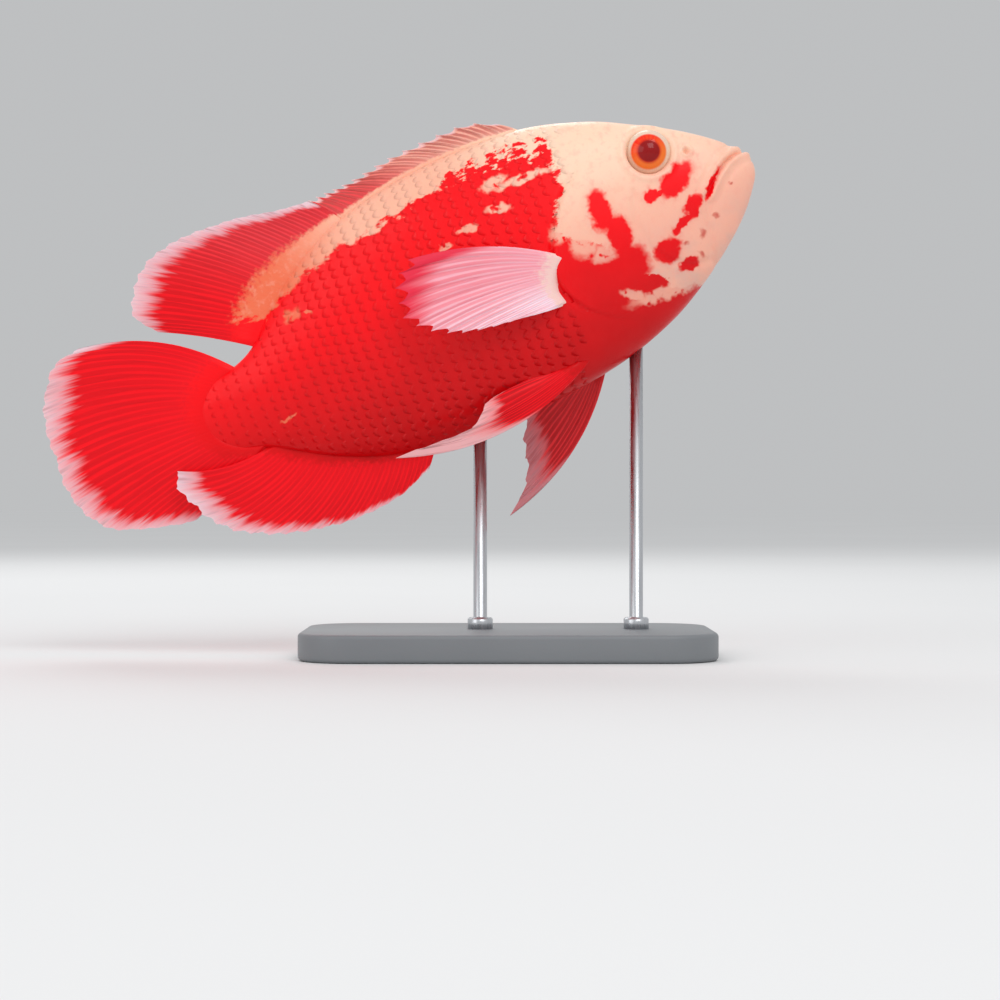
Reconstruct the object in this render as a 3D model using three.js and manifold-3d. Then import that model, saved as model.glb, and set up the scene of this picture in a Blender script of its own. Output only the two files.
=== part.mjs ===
// A life-size oscar, a deep-bodied cichlid, swimming nose up over a plain display stand.
// Units are millimetres, +Z is up, +X is the way the fish looks, and the origin is the
// middle of the underside of the stand's base.
// The fish is drawn level first: back is measured from the snout towards the tail,
// up from the line between snout and tail stalk, and side from the middle plane.
import * as THREE from "three";
import { mergeVertices } from "three/addons/utils/BufferGeometryUtils.js";
import Module from "manifold-3d";

const wasm = await Module();
wasm.setup();

// Driving sizes of the fish
const NOSE_UP = THREE.MathUtils.degToRad(23.6);
const TAIL_SWAY = 7;
const SWAY_START = 120;
const SWAY_END = 280;
const GAP = 0.3;
const RING_SIDES = 30;
const RINGS_PER_STATION = 3;
const WIDEST_SHARE = 0.52;
// How round the section is above and below its widest place: under 1 is squarer than an ellipse
const ROUNDING = { headAbove: 0.6, trunkAbove: 1.1, below: 0.86, headEnds: 32, trunkStarts: 84 };

// Each station of the body: distance back, height of the back, height of the belly, half width
const STATIONS = [
  { back: 0, top: 6.2, belly: 6.2, half: 0 },
  { back: 0.6, top: 9.6, belly: 2.6, half: 3.6 },
  { back: 3, top: 12.6, belly: -1.6, half: 6.4 },
  { back: 10.2, top: 19.6, belly: -10, half: 9.8 },
  { back: 21.2, top: 27.9, belly: -19, half: 13 },
  { back: 34.8, top: 36, belly: -27.8, half: 15.8 },
  { back: 50.5, top: 44.2, belly: -35.5, half: 18.4 },
  { back: 72.5, top: 51.2, belly: -41.9, half: 20.4 },
  { back: 98, top: 53.2, belly: -44.9, half: 20.8 },
  { back: 123.7, top: 52, belly: -44.9, half: 18.8 },
  { back: 147.5, top: 47.4, belly: -42.8, half: 15.4 },
  { back: 165.8, top: 39.6, belly: -38.8, half: 12.1 },
  { back: 182.3, top: 28.6, belly: -31.8, half: 9.2 },
  { back: 195, top: 17.8, belly: -24.2, half: 7.1 },
  { back: 204.2, top: 13.8, belly: -18.4, half: 5.5 },
  { back: 213.4, top: 12.2, belly: -15.4, half: 3.7 },
  { back: 221.5, top: 7.6, belly: -10.4, half: 2 },
];

// The head
const EYE = { back: 35, up: 23.4, side: 9.4, radius: 8.6, depth: 7.6, rim: 8.5, rimTube: 1.5, tilt: 0.26 };
const NOSTRIL = { back: 22, up: 18.6, radius: 1.1, rimTube: 0.55 };
const MOUTH_LINE = [
  { back: 1.2, up: 11.2 },
  { back: 5.5, up: 11 },
  { back: 10, up: 9.7 },
  { back: 15, up: 6.6 },
  { back: 20, up: 2.2 },
  { back: 23.6, up: -1.6 },
];
const JAW_HINGE_FOOT = { back: 27.5, up: -28 };
const MOUTH_SLOT = 0.6;
const LIP = { offset: 1.5, tube: 1.25, sides: 6, steps: 8, sink: 0.35 };
const NECK_CUT = { back: 63, lean: 0.06 };
const STALK_CUT = { back: 190, lean: 0 };
const GILL_COVER = {
  proud: 0.7,
  thick: 3.4,
  outline: [
    [58, 27.5], [69, 21], [76.5, 12], [81, 3], [83.5, -6], [81, -15],
    [73, -24], [60, -30.5], [47, -30.5], [41.5, -23], [47.5, -13], [51.5, 0], [52.5, 15],
  ],
};

// The fins: rays, where they leave the body and where they end
const MEMBRANE = { root: 0.42, tip: 0.3 };
const ROOT_DEPTH = 5;
const SPINY_DORSAL = {
  rays: 13, rows: 4, notch: 0.16, bulge: [0.04, 0.04], ray: { root: 1.0, tip: 0.36 },
  lean: 0,
  base: [[75, 51.6], [98, 53.2], [123.7, 52], [146, 48]],
  margin: [[81, 56.8], [86.5, 59.6], [93, 61.4], [105, 61.8], [122, 61], [139, 58.8], [154.6, 58.6]],
};
const SOFT_DORSAL = {
  rays: 19, rows: 6, notch: 0.02, bulge: [0.04, 0.02], ray: { root: 0.95, tip: 0.34 },
  lean: 3,
  base: [[146.5, 47.7], [165.8, 39.6], [182.3, 28.6], [194.5, 18.2]],
  margin: [
    [155.2, 58.6], [166, 60], [182, 63.8], [199, 65.5], [213.5, 64.7], [223.4, 60],
    [229.8, 52.4], [231.3, 45.6], [225.5, 37.6],
  ],
};
const ANAL = {
  rays: 18, rows: 6, notch: 0.035, bulge: [-0.03, -0.09], ray: { root: 0.95, tip: 0.34 },
  lean: -6.5,
  base: [[148.5, -42.6], [165.8, -38.8], [182.3, -31.8], [195, -24.2], [204, -18.4]],
  margin: [
    [153.7, -49.4], [160.3, -52], [167.6, -54.5], [178.6, -55.7], [193.2, -55], [207.9, -51.6],
    [220.7, -46.8], [229.8, -40.6], [235.7, -33.7], [239.7, -24.9], [241.2, -17.6], [238.6, -13.2],
  ],
};
const CAUDAL = {
  rays: 17, rows: 7, notch: 0.02, bulge: [0.1, -0.02], ray: { root: 1.25, tip: 0.34 },
  lean: 0,
  base: [[205, 14.2], [213.5, 12], [220.5, 6], [222, -1.5], [220.5, -9], [214, -15], [207, -17.4]],
  margin: [
    [255.5, 43.6], [263.5, 42.4], [270.1, 38], [275.2, 30.7], [278.2, 22], [279.6, 11], [280.3, 0],
    [279.3, -8], [276.3, -16.5], [271.6, -22], [264.6, -25.6], [255.5, -28.9], [246.3, -31.5], [240, -32.2],
  ],
};
const PECTORAL = {
  rays: 13, rows: 6, notch: 0.03, bulge: [0.07, -0.02], ray: { root: 1.5, tip: 0.32 },
  base: [[80.6, 1.6], [84.5, -6.5], [87, -15]],
  margin: [
    [131, 21.2], [137.6, 16.4], [140, 10.2], [140.9, 2.9], [138.4, -0.8], [134, -5.2], [127.4, -9.2],
    [119.3, -11.7], [110.9, -13.2], [101, -14.2],
  ],
  sink: 0.2, flare: 8.5, cup: 2.6,
};
const PELVIC_SWEPT = {
  rays: 6, rows: 8, notch: 0.05, bulge: [-0.11, 0.04], ray: { root: 1.15, tip: 0.34 },
  base: [[88.2, -38.6], [90.5, -37.4], [95, -35.9]],
  margin: [[164, -41.4], [141, -43], [133.6, -42.2], [129.5, -38.6], [123.5, -35.4], [116, -34.8]],
  side: -11, flare: -8.5, cup: -1.2,
};
const PELVIC_SPREAD = {
  rays: 6, rows: 8, notch: 0.05, bulge: [-0.1, 0.05], ray: { root: 1.15, tip: 0.34 },
  base: [[78.5, -40.2], [85, -40.8], [92, -40.4]],
  margin: [[134.7, -78], [125.5, -70.6], [121.9, -64], [119.7, -57.8], [117.5, -52], [113.5, -46.6]],
  side: 9.5, flare: 10, cup: 1.2,
};

// The stand
const BASE = { length: 150, width: 84, height: 10, corner: 20, bevel: 1.2 };
const ROD_RADIUS = 2.5;
const ROD_BACKS = [63, 127.5];
const SNOUT_FROM_MIDDLE = 92;
const SNOUT_HEIGHT = 175;

// Colours: red and cream skin, pale fins, an orange eye, a grey stand
const finish = (color, roughness, metalness = 0) =>
  new THREE.MeshStandardMaterial({ color, roughness, metalness });
const CREAM = finish(0xf2b995, 0.45);
const RED = finish(0xd8040f, 0.42);
const FIN_RED = finish(0xd9101c, 0.5);
const FIN_PALE = finish(0xf0a3b0, 0.5);
const EYE_ORANGE = finish(0xe8641c, 0.12);
const STEEL = finish(0xb9bcc0, 0.28, 1);
const STONE_GREY = finish(0x6f7478, 0.55);

const fish = new THREE.Group();
fish.rotation.y = -NOSE_UP;
fish.position.set(SNOUT_FROM_MIDDLE, 0, SNOUT_HEIGHT);

// How far the rear of the fish bends to its left, in millimetres, at a distance back
function sway(back) {
  const share = Math.max(0, back - SWAY_START) / (SWAY_END - SWAY_START);
  return TAIL_SWAY * share * share;
}

function place(back, up, side) {
  return new THREE.Vector3(-back, side + sway(back), up);
}

// Between two values
const mix = (a, b, share) => a + (b - a) * share;

// A smooth function of the station number for one size of the body
function stationCurve(key) {
  const points = STATIONS.map((s) => new THREE.Vector2(s.back, s[key]));
  return new THREE.SplineCurve(points);
}
const CURVES = {
  top: stationCurve("top"),
  belly: stationCurve("belly"),
  half: stationCurve("half"),
};

// The section of the body at share 0 to 1 of the stations, grown on all sides
function sectionAt(share, grow) {
  const top = CURVES.top.getPoint(share);
  return {
    back: top.x,
    top: top.y + grow,
    belly: CURVES.belly.getPoint(share).y - grow,
    half: Math.max(0, CURVES.half.getPoint(share).y) + grow,
  };
}

// The power that shapes a section: the crown of the head is broad, the back is a ridge
function rounding(section, above) {
  if (!above) return ROUNDING.below;
  const share = THREE.MathUtils.smoothstep(section.back, ROUNDING.headEnds, ROUNDING.trunkStarts);
  return mix(ROUNDING.headAbove, ROUNDING.trunkAbove, share);
}

// A point of a section, which is a superellipse
function sectionPoint(section, angle) {
  const middle = mix(section.belly, section.top, WIDEST_SHARE);
  const above = Math.sin(angle) > 0;
  const reach = above ? section.top - middle : middle - section.belly;
  const cosine = Math.cos(angle);
  const side = section.half * Math.sign(cosine) * Math.pow(Math.abs(cosine), rounding(section, above));
  return { up: middle + reach * Math.sin(angle), side };
}

// The share of the stations at a distance back, found by halving
function shareAtBack(back) {
  let [low, high] = [0, 1];
  for (let step = 0; step < 30; step++) {
    const middle = (low + high) / 2;
    if (CURVES.top.getPoint(middle).x < back) low = middle;
    else high = middle;
  }
  return (low + high) / 2;
}

// The half width of the body at a distance back and a height
function halfWidthAt(back, up) {
  const section = sectionAt(shareAtBack(back), 0);
  const middle = mix(section.belly, section.top, WIDEST_SHARE);
  const above = up > middle;
  const reach = above ? section.top - middle : middle - section.belly;
  const sine = Math.min(1, Math.abs(up - middle) / reach);
  return section.half * Math.pow(Math.sqrt(1 - sine * sine), rounding(section, above));
}

// Closed geometry from rings of points, with a point at each end
function ringsGeometry(rings, start, end) {
  const sides = rings[0].length;
  const positions = [start, ...rings.flat(), end].flatMap((p) => [p.x, p.y, p.z]);
  const faces = [];
  const last = 1 + rings.length * sides;
  const at = (ring, side) => 1 + ring * sides + (side % sides);
  for (let side = 0; side < sides; side++) {
    faces.push(0, at(0, side + 1), at(0, side));
    faces.push(last, at(rings.length - 1, side), at(rings.length - 1, side + 1));
    for (let ring = 0; ring + 1 < rings.length; ring++) {
      faces.push(at(ring, side), at(ring, side + 1), at(ring + 1, side));
      faces.push(at(ring, side + 1), at(ring + 1, side + 1), at(ring + 1, side));
    }
  }
  const geometry = new THREE.BufferGeometry();
  geometry.setAttribute("position", new THREE.Float32BufferAttribute(positions, 3));
  geometry.setIndex(faces);
  return geometry;
}

// The whole body without fins, grown by so many millimetres
function bodyGeometry(grow) {
  const count = (STATIONS.length - 1) * RINGS_PER_STATION;
  const rings = [];
  for (let ring = 1; ring <= count; ring++) {
    const section = sectionAt(ring / count, grow);
    rings.push(
      Array.from({ length: RING_SIDES }, (_, side) => {
        const point = sectionPoint(section, (side / RING_SIDES) * 2 * Math.PI);
        return place(section.back + (ring === count ? grow : 0), point.up, point.side);
      }),
    );
  }
  const tail = STATIONS.at(-1);
  return ringsGeometry(
    rings,
    place(-grow, STATIONS[0].top, 0),
    place(tail.back + grow + 0.4, (tail.top + tail.belly) / 2, 0),
  );
}

// A closed geometry as a solid for joining and cutting
function solidOf(geometry) {
  const bare = new THREE.BufferGeometry();
  bare.setAttribute("position", geometry.getAttribute("position"));
  if (geometry.index) bare.setIndex(geometry.index);
  const merged = mergeVertices(bare, 1e-4);
  const solid = new wasm.Manifold(
    new wasm.Mesh({
      numProp: 3,
      vertProperties: merged.attributes.position.array,
      triVerts: new Uint32Array(merged.index.array),
    }),
  );
  if (solid.volume() > 0) return solid;
  const turned = merged.index.array;
  for (let i = 0; i < turned.length; i += 3) [turned[i + 1], turned[i + 2]] = [turned[i + 2], turned[i + 1]];
  return new wasm.Manifold(
    new wasm.Mesh({
      numProp: 3,
      vertProperties: merged.attributes.position.array,
      triVerts: new Uint32Array(turned),
    }),
  );
}

// The largest closed surface of a solid
function largest(solid) {
  return solid.decompose().reduce((best, piece) => (piece.volume() > best.volume() ? piece : best));
}

// Adds a solid to a group as a named mesh
function addNode(group, name, solid, material) {
  const cut = largest(solid).getMesh();
  const geometry = new THREE.BufferGeometry();
  geometry.setAttribute("position", new THREE.BufferAttribute(cut.vertProperties, 3));
  geometry.setIndex(new THREE.BufferAttribute(cut.triVerts, 1));
  geometry.computeVertexNormals();
  const mesh = new THREE.Mesh(geometry, material);
  mesh.name = name;
  group.add(mesh);
}

// A prism right through the fish from an outline of points (back, up) seen from the side
function prism(outline, from = -60, to = 60) {
  const shape = new THREE.Shape(outline.map(([back, up]) => new THREE.Vector2(-back, up)));
  const geometry = new THREE.ExtrudeGeometry(shape, { depth: to - from, bevelEnabled: false });
  geometry.rotateX(Math.PI / 2);
  geometry.translate(0, to, 0);
  return solidOf(geometry);
}

// A band between two lines of points, half a width to each side of one line
function band(line, width) {
  const offset = (direction) =>
    line.map(([back, up], i) => {
      const [a, b] = [line[Math.max(0, i - 1)], line[Math.min(line.length - 1, i + 1)]];
      const length = Math.hypot(b[0] - a[0], b[1] - a[1]);
      const reach = (direction * width) / 2 / length;
      return [back - (b[1] - a[1]) * reach, up + (b[0] - a[0]) * reach];
    });
  return [...offset(1), ...offset(-1).reverse()];
}

// A smooth closed outline through a few points, grown outwards
function smoothOutline(points, grow, count = 36) {
  const curve = new THREE.CatmullRomCurve3(points.map(([x, y]) => new THREE.Vector3(x, y, 0)), true);
  const middle = points.reduce((sum, [x, y]) => [sum[0] + x / points.length, sum[1] + y / points.length], [0, 0]);
  return Array.from({ length: count }, (_, i) => {
    const p = curve.getPoint(i / count);
    const out = Math.hypot(p.x - middle[0], p.y - middle[1]);
    return [p.x + ((p.x - middle[0]) / out) * grow, p.y + ((p.y - middle[1]) / out) * grow];
  });
}

// A tube of round section along points in space, closed at both ends
function tube(points, radius, sides, steps) {
  const shape = new THREE.Shape();
  shape.absarc(0, 0, radius, 0, 2 * Math.PI);
  const path = new THREE.CatmullRomCurve3(points);
  const geometry = new THREE.ExtrudeGeometry(shape, {
    extrudePath: path,
    steps,
    curveSegments: sides / 2,
    bevelEnabled: false,
  });
  return solidOf(geometry);
}

// A ball, flattened sideways where its depth is less than its radius
function ball(centre, radius, depth, around, high) {
  const geometry = new THREE.SphereGeometry(radius, around, high);
  geometry.scale(1, depth / radius, 1);
  geometry.translate(centre.x, centre.y, centre.z);
  return solidOf(geometry);
}
const eyeball = (centre, grow) => ball(centre, EYE.radius + grow, EYE.depth + grow, 20, 10);

// A ring that lies against the side of the head, turned to face forward and tilted to face up
function sideRing(centre, radius, tubeRadius, around, turn, tilt) {
  const geometry = new THREE.TorusGeometry(radius, tubeRadius, 6, around);
  geometry.rotateX(Math.PI / 2 - tilt);
  geometry.rotateZ(turn);
  geometry.translate(centre.x, centre.y, centre.z);
  return solidOf(geometry);
}

// The lips follow the mouth line just above and below it, on the skin of one side
function lip(side, above) {
  const points = MOUTH_LINE.map(({ back, up }, i) => {
    const thin = mix(1, 0.6, i / (MOUTH_LINE.length - 1));
    const height = up + above * LIP.offset * thin;
    return place(back, height, side * (halfWidthAt(back, height) - LIP.sink));
  });
  return tube(points, LIP.tube, LIP.sides, LIP.steps);
}

// A fin: a thin membrane with a raised ridge for each ray, closed on all edges, grown on both faces
function finSheet(fin, sideAt, grow = 0) {
  const base = new THREE.SplineCurve(fin.base.map(([x, y]) => new THREE.Vector2(x, y)));
  const margin = new THREE.SplineCurve(fin.margin.map(([x, y]) => new THREE.Vector2(x, y)));
  const columns = 2 * fin.rays - 1;
  const faceRows = fin.rows + 2;
  const positions = [];
  for (const face of [1, -1]) {
    for (let column = 0; column < columns; column++) {
      const isRay = column % 2 === 0;
      const across = column / (columns - 1);
      const root = base.getPointAt(across);
      const full = margin.getPointAt(across);
      const tip = full.clone().lerp(root, isRay ? 0 : fin.notch);
      const along = tip.clone().sub(root);
      const bulge = mix(fin.bulge[0], fin.bulge[1], across);
      const bend = new THREE.Vector2(-along.y, along.x).multiplyScalar(bulge * 2);
      const control = root.clone().lerp(tip, 0.5).add(bend);
      const ray = new THREE.QuadraticBezierCurve(root, control, tip);
      const start = ray.getTangent(0);
      for (let row = 0; row < faceRows; row++) {
        const share = (row - 1) / fin.rows;
        const point = row === 0 ? root.clone().addScaledVector(start, -ROOT_DEPTH) : ray.getPoint(share);
        const inside = Math.max(0, share);
        const thick = isRay
          ? mix(fin.ray.root, fin.ray.tip, Math.sqrt(inside))
          : mix(MEMBRANE.root, MEMBRANE.tip, inside);
        const spot = place(point.x, point.y, sideAt(across, inside, point) + face * (thick + grow));
        positions.push(spot.x, spot.y, spot.z);
      }
    }
  }
  const at = (face, column, row) => (face * columns + column) * faceRows + row;
  const faces = [];
  const quad = (a, b, c, d) => faces.push(a, b, c, a, c, d);
  for (let column = 0; column + 1 < columns; column++) {
    for (let row = 0; row + 1 < faceRows; row++) {
      const corner = (face, c, r) => at(face, column + c, row + r);
      quad(corner(0, 0, 0), corner(0, 1, 0), corner(0, 1, 1), corner(0, 0, 1));
      faces.push(corner(1, 0, 0), corner(1, 1, 1), corner(1, 1, 0));
      faces.push(corner(1, 0, 0), corner(1, 0, 1), corner(1, 1, 1));
    }
    quad(at(0, column + 1, 0), at(0, column, 0), at(1, column, 0), at(1, column + 1, 0));
    const rim = faceRows - 1;
    quad(at(0, column, rim), at(0, column + 1, rim), at(1, column + 1, rim), at(1, column, rim));
  }
  for (let row = 0; row + 1 < faceRows; row++) {
    const end = columns - 1;
    quad(at(0, 0, row), at(0, 0, row + 1), at(1, 0, row + 1), at(1, 0, row));
    quad(at(0, end, row + 1), at(0, end, row), at(1, end, row), at(1, end, row + 1));
  }
  const geometry = new THREE.BufferGeometry();
  geometry.setAttribute("position", new THREE.Float32BufferAttribute(positions, 3));
  geometry.setIndex(faces);
  return solidOf(geometry);
}

// A fin of the middle line leans sideways towards the tips of its rear rays
function leaning(fin) {
  return (across, along) => fin.lean * across * along;
}

// The pectoral fin starts on the flank and stands off it more and more towards the tips
function pectoralSide(side) {
  return (across, along, point) => {
    const flank = halfWidthAt(mix(86, point.x, 0.6), mix(point.y, 0, 0.6));
    const cup = PECTORAL.cup * Math.sin(Math.PI * across) * along;
    return side * (flank - PECTORAL.sink + PECTORAL.flare * along + cup);
  };
}

function pelvicSide(fin) {
  return (across, along) => fin.side + fin.flare * along * (1 - 0.5 * across) + fin.cup * Math.sin(Math.PI * across);
}

// Body solids used for fitting one piece to another
const whole = solidOf(bodyGeometry(0));
const wholeGrown = solidOf(bodyGeometry(GAP));
const coverSkin = solidOf(bodyGeometry(GILL_COVER.proud));
const coverFloor = solidOf(bodyGeometry(GILL_COVER.proud - GILL_COVER.thick));
const coverBed = solidOf(bodyGeometry(GILL_COVER.proud - GILL_COVER.thick - GAP));

// The skin of the head with its lips and the rims of the eyes and nostrils
let dressed = whole;
const eyeCentres = [-1, 1].map((side) => place(EYE.back, EYE.up, side * EYE.side));
for (const side of [-1, 1]) {
  const rimCentre = place(EYE.back, EYE.up, side * (halfWidthAt(EYE.back, EYE.up) - 0.2));
  const nostrilSide = halfWidthAt(NOSTRIL.back, NOSTRIL.up);
  const nostril = place(NOSTRIL.back, NOSTRIL.up, side * nostrilSide);
  dressed = dressed
    .add(lip(side, 1))
    .add(lip(side, -1))
    .add(sideRing(rimCentre, EYE.rim, EYE.rimTube, 20, side * 0.14, side * EYE.tilt))
    .add(sideRing(nostril, NOSTRIL.radius + NOSTRIL.rimTube, NOSTRIL.rimTube, 12, side * 0.45, side * 0.3))
    .subtract(ball(nostril, NOSTRIL.radius, NOSTRIL.radius * 2, 8, 5));
}
for (const centre of eyeCentres) dressed = dressed.subtract(eyeball(centre, GAP));

// The jaw, the gill covers, the head, the trunk and the tail stalk, parted by thin cuts
const mouthLine = new THREE.SplineCurve(MOUTH_LINE.map((p) => new THREE.Vector2(p.back, p.up)));
const slotLine = [
  [-20, MOUTH_LINE[0].up + 0.4],
  ...mouthLine.getPoints(10).map((p) => [p.x, p.y]),
  [JAW_HINGE_FOOT.back, JAW_HINGE_FOOT.up],
  [JAW_HINGE_FOOT.back + 1, -60],
];
const jawSide = prism([...slotLine, [-20, -60]]);
const mouthSlot = prism(band(slotLine, MOUTH_SLOT));
const acrossCut = (cut) => {
  const foot = cut.back - 80 * cut.lean;
  const head = cut.back + 80 * cut.lean;
  return [[foot, -80], [head, 80]];
};
const behind = (cut) => prism([...acrossCut(cut), [400, 80], [400, -80]]);
const coverPrism = prism(smoothOutline(GILL_COVER.outline, 0));
const coverHole = prism(smoothOutline(GILL_COVER.outline, GAP)).subtract(coverBed);
const cored = dressed.subtract(coverHole);
const neckSlot = prism(band(acrossCut(NECK_CUT), GAP));
const stalkSlot = prism(band(acrossCut(STALK_CUT), GAP));

const upperHead = cored.subtract(jawSide).subtract(mouthSlot);
addNode(fish, "head", upperHead.subtract(behind(NECK_CUT)).subtract(neckSlot), CREAM);
addNode(fish, "lower_jaw", cored.intersect(jawSide).subtract(mouthSlot), CREAM);
addNode(
  fish,
  "trunk",
  cored.intersect(behind(NECK_CUT)).subtract(neckSlot).subtract(behind(STALK_CUT)).subtract(stalkSlot),
  RED,
);
addNode(fish, "tail_stalk", cored.intersect(behind(STALK_CUT)).subtract(stalkSlot), RED);
for (const [name, side] of [["right", -1], ["left", 1]]) {
  const half = prism([[-50, 100], [300, 100], [300, -100], [-50, -100]], side < 0 ? -60 : 0, side < 0 ? 0 : 60);
  const cover = coverSkin.subtract(coverFloor).intersect(coverPrism).intersect(half);
  addNode(fish, `gill_cover_${name}`, cover, CREAM);
  addNode(fish, `eye_${name}`, eyeball(eyeCentres[side < 0 ? 0 : 1], 0), EYE_ORANGE);
}

// Fins on the middle line, cut clear of the body and of each other
const fitted = (fin, sideAt) => finSheet(fin, sideAt).subtract(wholeGrown);
addNode(fish, "dorsal_fin_spines", fitted(SPINY_DORSAL, leaning(SPINY_DORSAL)), FIN_PALE);
addNode(fish, "dorsal_fin_soft", fitted(SOFT_DORSAL, leaning(SOFT_DORSAL)), FIN_RED);
addNode(fish, "anal_fin", fitted(ANAL, leaning(ANAL)), FIN_RED);
const analRoom = finSheet(ANAL, leaning(ANAL), GAP);
addNode(fish, "caudal_fin", fitted(CAUDAL, leaning(CAUDAL)).subtract(analRoom), FIN_RED);

// Paired fins; the right pelvic fin is swept back, the left one is spread down
const flanks = wholeGrown.add(solidOf(bodyGeometry(GILL_COVER.proud + GAP)).intersect(coverPrism));
for (const [name, side] of [["right", -1], ["left", 1]]) {
  addNode(fish, `pectoral_fin_${name}`, finSheet(PECTORAL, pectoralSide(side)).subtract(flanks), FIN_PALE);
}
addNode(fish, "pelvic_fin_right", fitted(PELVIC_SWEPT, pelvicSide(PELVIC_SWEPT)), FIN_PALE);
addNode(fish, "pelvic_fin_left", fitted(PELVIC_SPREAD, pelvicSide(PELVIC_SPREAD)), FIN_RED);

// The stand: a bevelled base plate and two rods that end just under the belly
function baseGeometry() {
  const [x, y, r] = [BASE.length / 2 - BASE.bevel, BASE.width / 2 - BASE.bevel, BASE.corner];
  const shape = new THREE.Shape();
  shape.moveTo(-x + r, -y);
  shape.lineTo(x - r, -y);
  shape.absarc(x - r, -y + r, r, -Math.PI / 2, 0);
  shape.absarc(x - r, y - r, r, 0, Math.PI / 2);
  shape.absarc(-x + r, y - r, r, Math.PI / 2, Math.PI);
  shape.absarc(-x + r, -y + r, r, Math.PI, 1.5 * Math.PI);
  const geometry = new THREE.ExtrudeGeometry(shape, {
    depth: BASE.height - 2 * BASE.bevel,
    bevelThickness: BASE.bevel,
    bevelSize: BASE.bevel,
    bevelSegments: 1,
    curveSegments: 6,
  });
  geometry.translate(0, 0, BASE.bevel);
  return geometry;
}

fish.updateMatrixWorld(true);
const toWorld = (back, up) => place(back, up, 0).applyMatrix4(fish.matrixWorld);
const model = new THREE.Group();
model.add(fish);
addNode(model, "stand_base", solidOf(baseGeometry()), STONE_GREY);

const bodyInWorld = solidOf(bodyGeometry(GAP).applyMatrix4(fish.matrixWorld));
ROD_BACKS.forEach((back, i) => {
  const section = sectionAt(shareAtBack(back), 0);
  const top = toWorld(back, section.belly + 8);
  const foot = BASE.height + GAP;
  const rod = new THREE.CylinderGeometry(ROD_RADIUS, ROD_RADIUS, top.z - foot, 20);
  rod.rotateX(Math.PI / 2);
  rod.translate(top.x, top.y, (top.z + foot) / 2);
  addNode(model, `stand_rod_${["front", "rear"][i]}`, solidOf(rod).subtract(bodyInWorld), STEEL);
});

export default model;
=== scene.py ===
# %% [markdown]
# # A red oscar on a display stand
# The solids of this model are plain. This notebook dresses them: one smooth skin over the
# whole body, a coat of scales, fins with fine rays, wet eyes and a finished stand.
# The first cell opens the solids, and a small helper reads the box of any one of them.

import math

import bmesh
import bpy
import numpy as np
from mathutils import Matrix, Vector


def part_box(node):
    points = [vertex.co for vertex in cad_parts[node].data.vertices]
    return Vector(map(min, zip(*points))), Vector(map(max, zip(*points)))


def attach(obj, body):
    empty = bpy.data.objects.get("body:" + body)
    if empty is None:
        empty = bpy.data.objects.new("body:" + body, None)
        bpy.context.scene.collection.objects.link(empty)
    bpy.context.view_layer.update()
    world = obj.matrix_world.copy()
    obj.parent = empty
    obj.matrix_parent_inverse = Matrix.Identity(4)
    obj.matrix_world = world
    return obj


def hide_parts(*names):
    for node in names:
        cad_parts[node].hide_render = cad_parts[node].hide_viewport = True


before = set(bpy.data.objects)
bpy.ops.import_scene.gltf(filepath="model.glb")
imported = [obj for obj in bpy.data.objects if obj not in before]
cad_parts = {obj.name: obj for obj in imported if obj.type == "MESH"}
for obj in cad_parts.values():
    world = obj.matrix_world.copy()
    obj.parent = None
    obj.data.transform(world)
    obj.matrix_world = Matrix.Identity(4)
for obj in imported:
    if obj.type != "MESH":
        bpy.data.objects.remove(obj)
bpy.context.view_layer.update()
print("solids:", len(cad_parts), "nodes")

# %% [markdown]
# ## The fish's own level frame
# The fish swims nose up, which makes its sizes awkward to name. So each point is drawn on a
# level fish, in millimetres: back from the snout, side from the middle plane (right is minus)
# and up from the snout. One function bends the tail, tips the fish and turns the result to metres.

# %% The level frame
NOSE_UP = math.radians(23.6)
SNOUT = np.array([0.092, 0.0, 0.175])
TAIL_SWAY = 7.0
SWAY_START = 120.0
SWAY_END = 280.0


def sway(back):
    """How far the rear of the fish bends to its left."""
    share = np.maximum(0, back - SWAY_START) / (SWAY_END - SWAY_START)
    return TAIL_SWAY * share**2


def to_scene(points):
    """Level points (back, side, up) in millimetres as scene points in metres."""
    back, side, up = np.moveaxis(np.asarray(points, float), -1, 0)
    x = -back * math.cos(NOSE_UP) - up * math.sin(NOSE_UP)
    z = -back * math.sin(NOSE_UP) + up * math.cos(NOSE_UP)
    return SNOUT + np.stack([x, side + sway(back), z], -1) / 1000


print("tail tip at", to_scene([280.3, 0, 0]).round(3))

# %% [markdown]
# ## Small tools for shapes
# A smooth step and a rounded bump draw most of the relief on a face: lips, folds and rims are
# all a bump at some distance from a line. The spline runs through a few named stations.

# %% Shape tools
def mix(low, high, share):
    return low + (high - low) * share


def smooth(low, high, value):
    """0 below low, 1 above high, and a smooth step between."""
    share = np.clip((value - low) / (high - low), 0, 1)
    return share * share * (3 - 2 * share)


def bump(distance, width):
    """1 at distance 0, fading to nothing over about twice the width."""
    return np.exp(-((distance / width) ** 2))


def spline(points, share):
    """A smooth curve through points, at shares from 0 to 1 of their count."""
    points = np.asarray(points, float)
    place = np.asarray(share, float) * (len(points) - 1)
    start = np.clip(np.floor(place).astype(int), 0, len(points) - 2)
    t = (place - start)[..., None]
    before, a = points[np.maximum(start - 1, 0)], points[start]
    b, after = points[start + 1], points[np.minimum(start + 2, len(points) - 1)]
    slope_a, slope_b = (b - before) / 2, (after - a) / 2
    cubic = 2 * a - 2 * b + slope_a + slope_b
    square = -3 * a + 3 * b - 2 * slope_a - slope_b
    return cubic * t**3 + square * t**2 + slope_a * t + a


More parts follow.
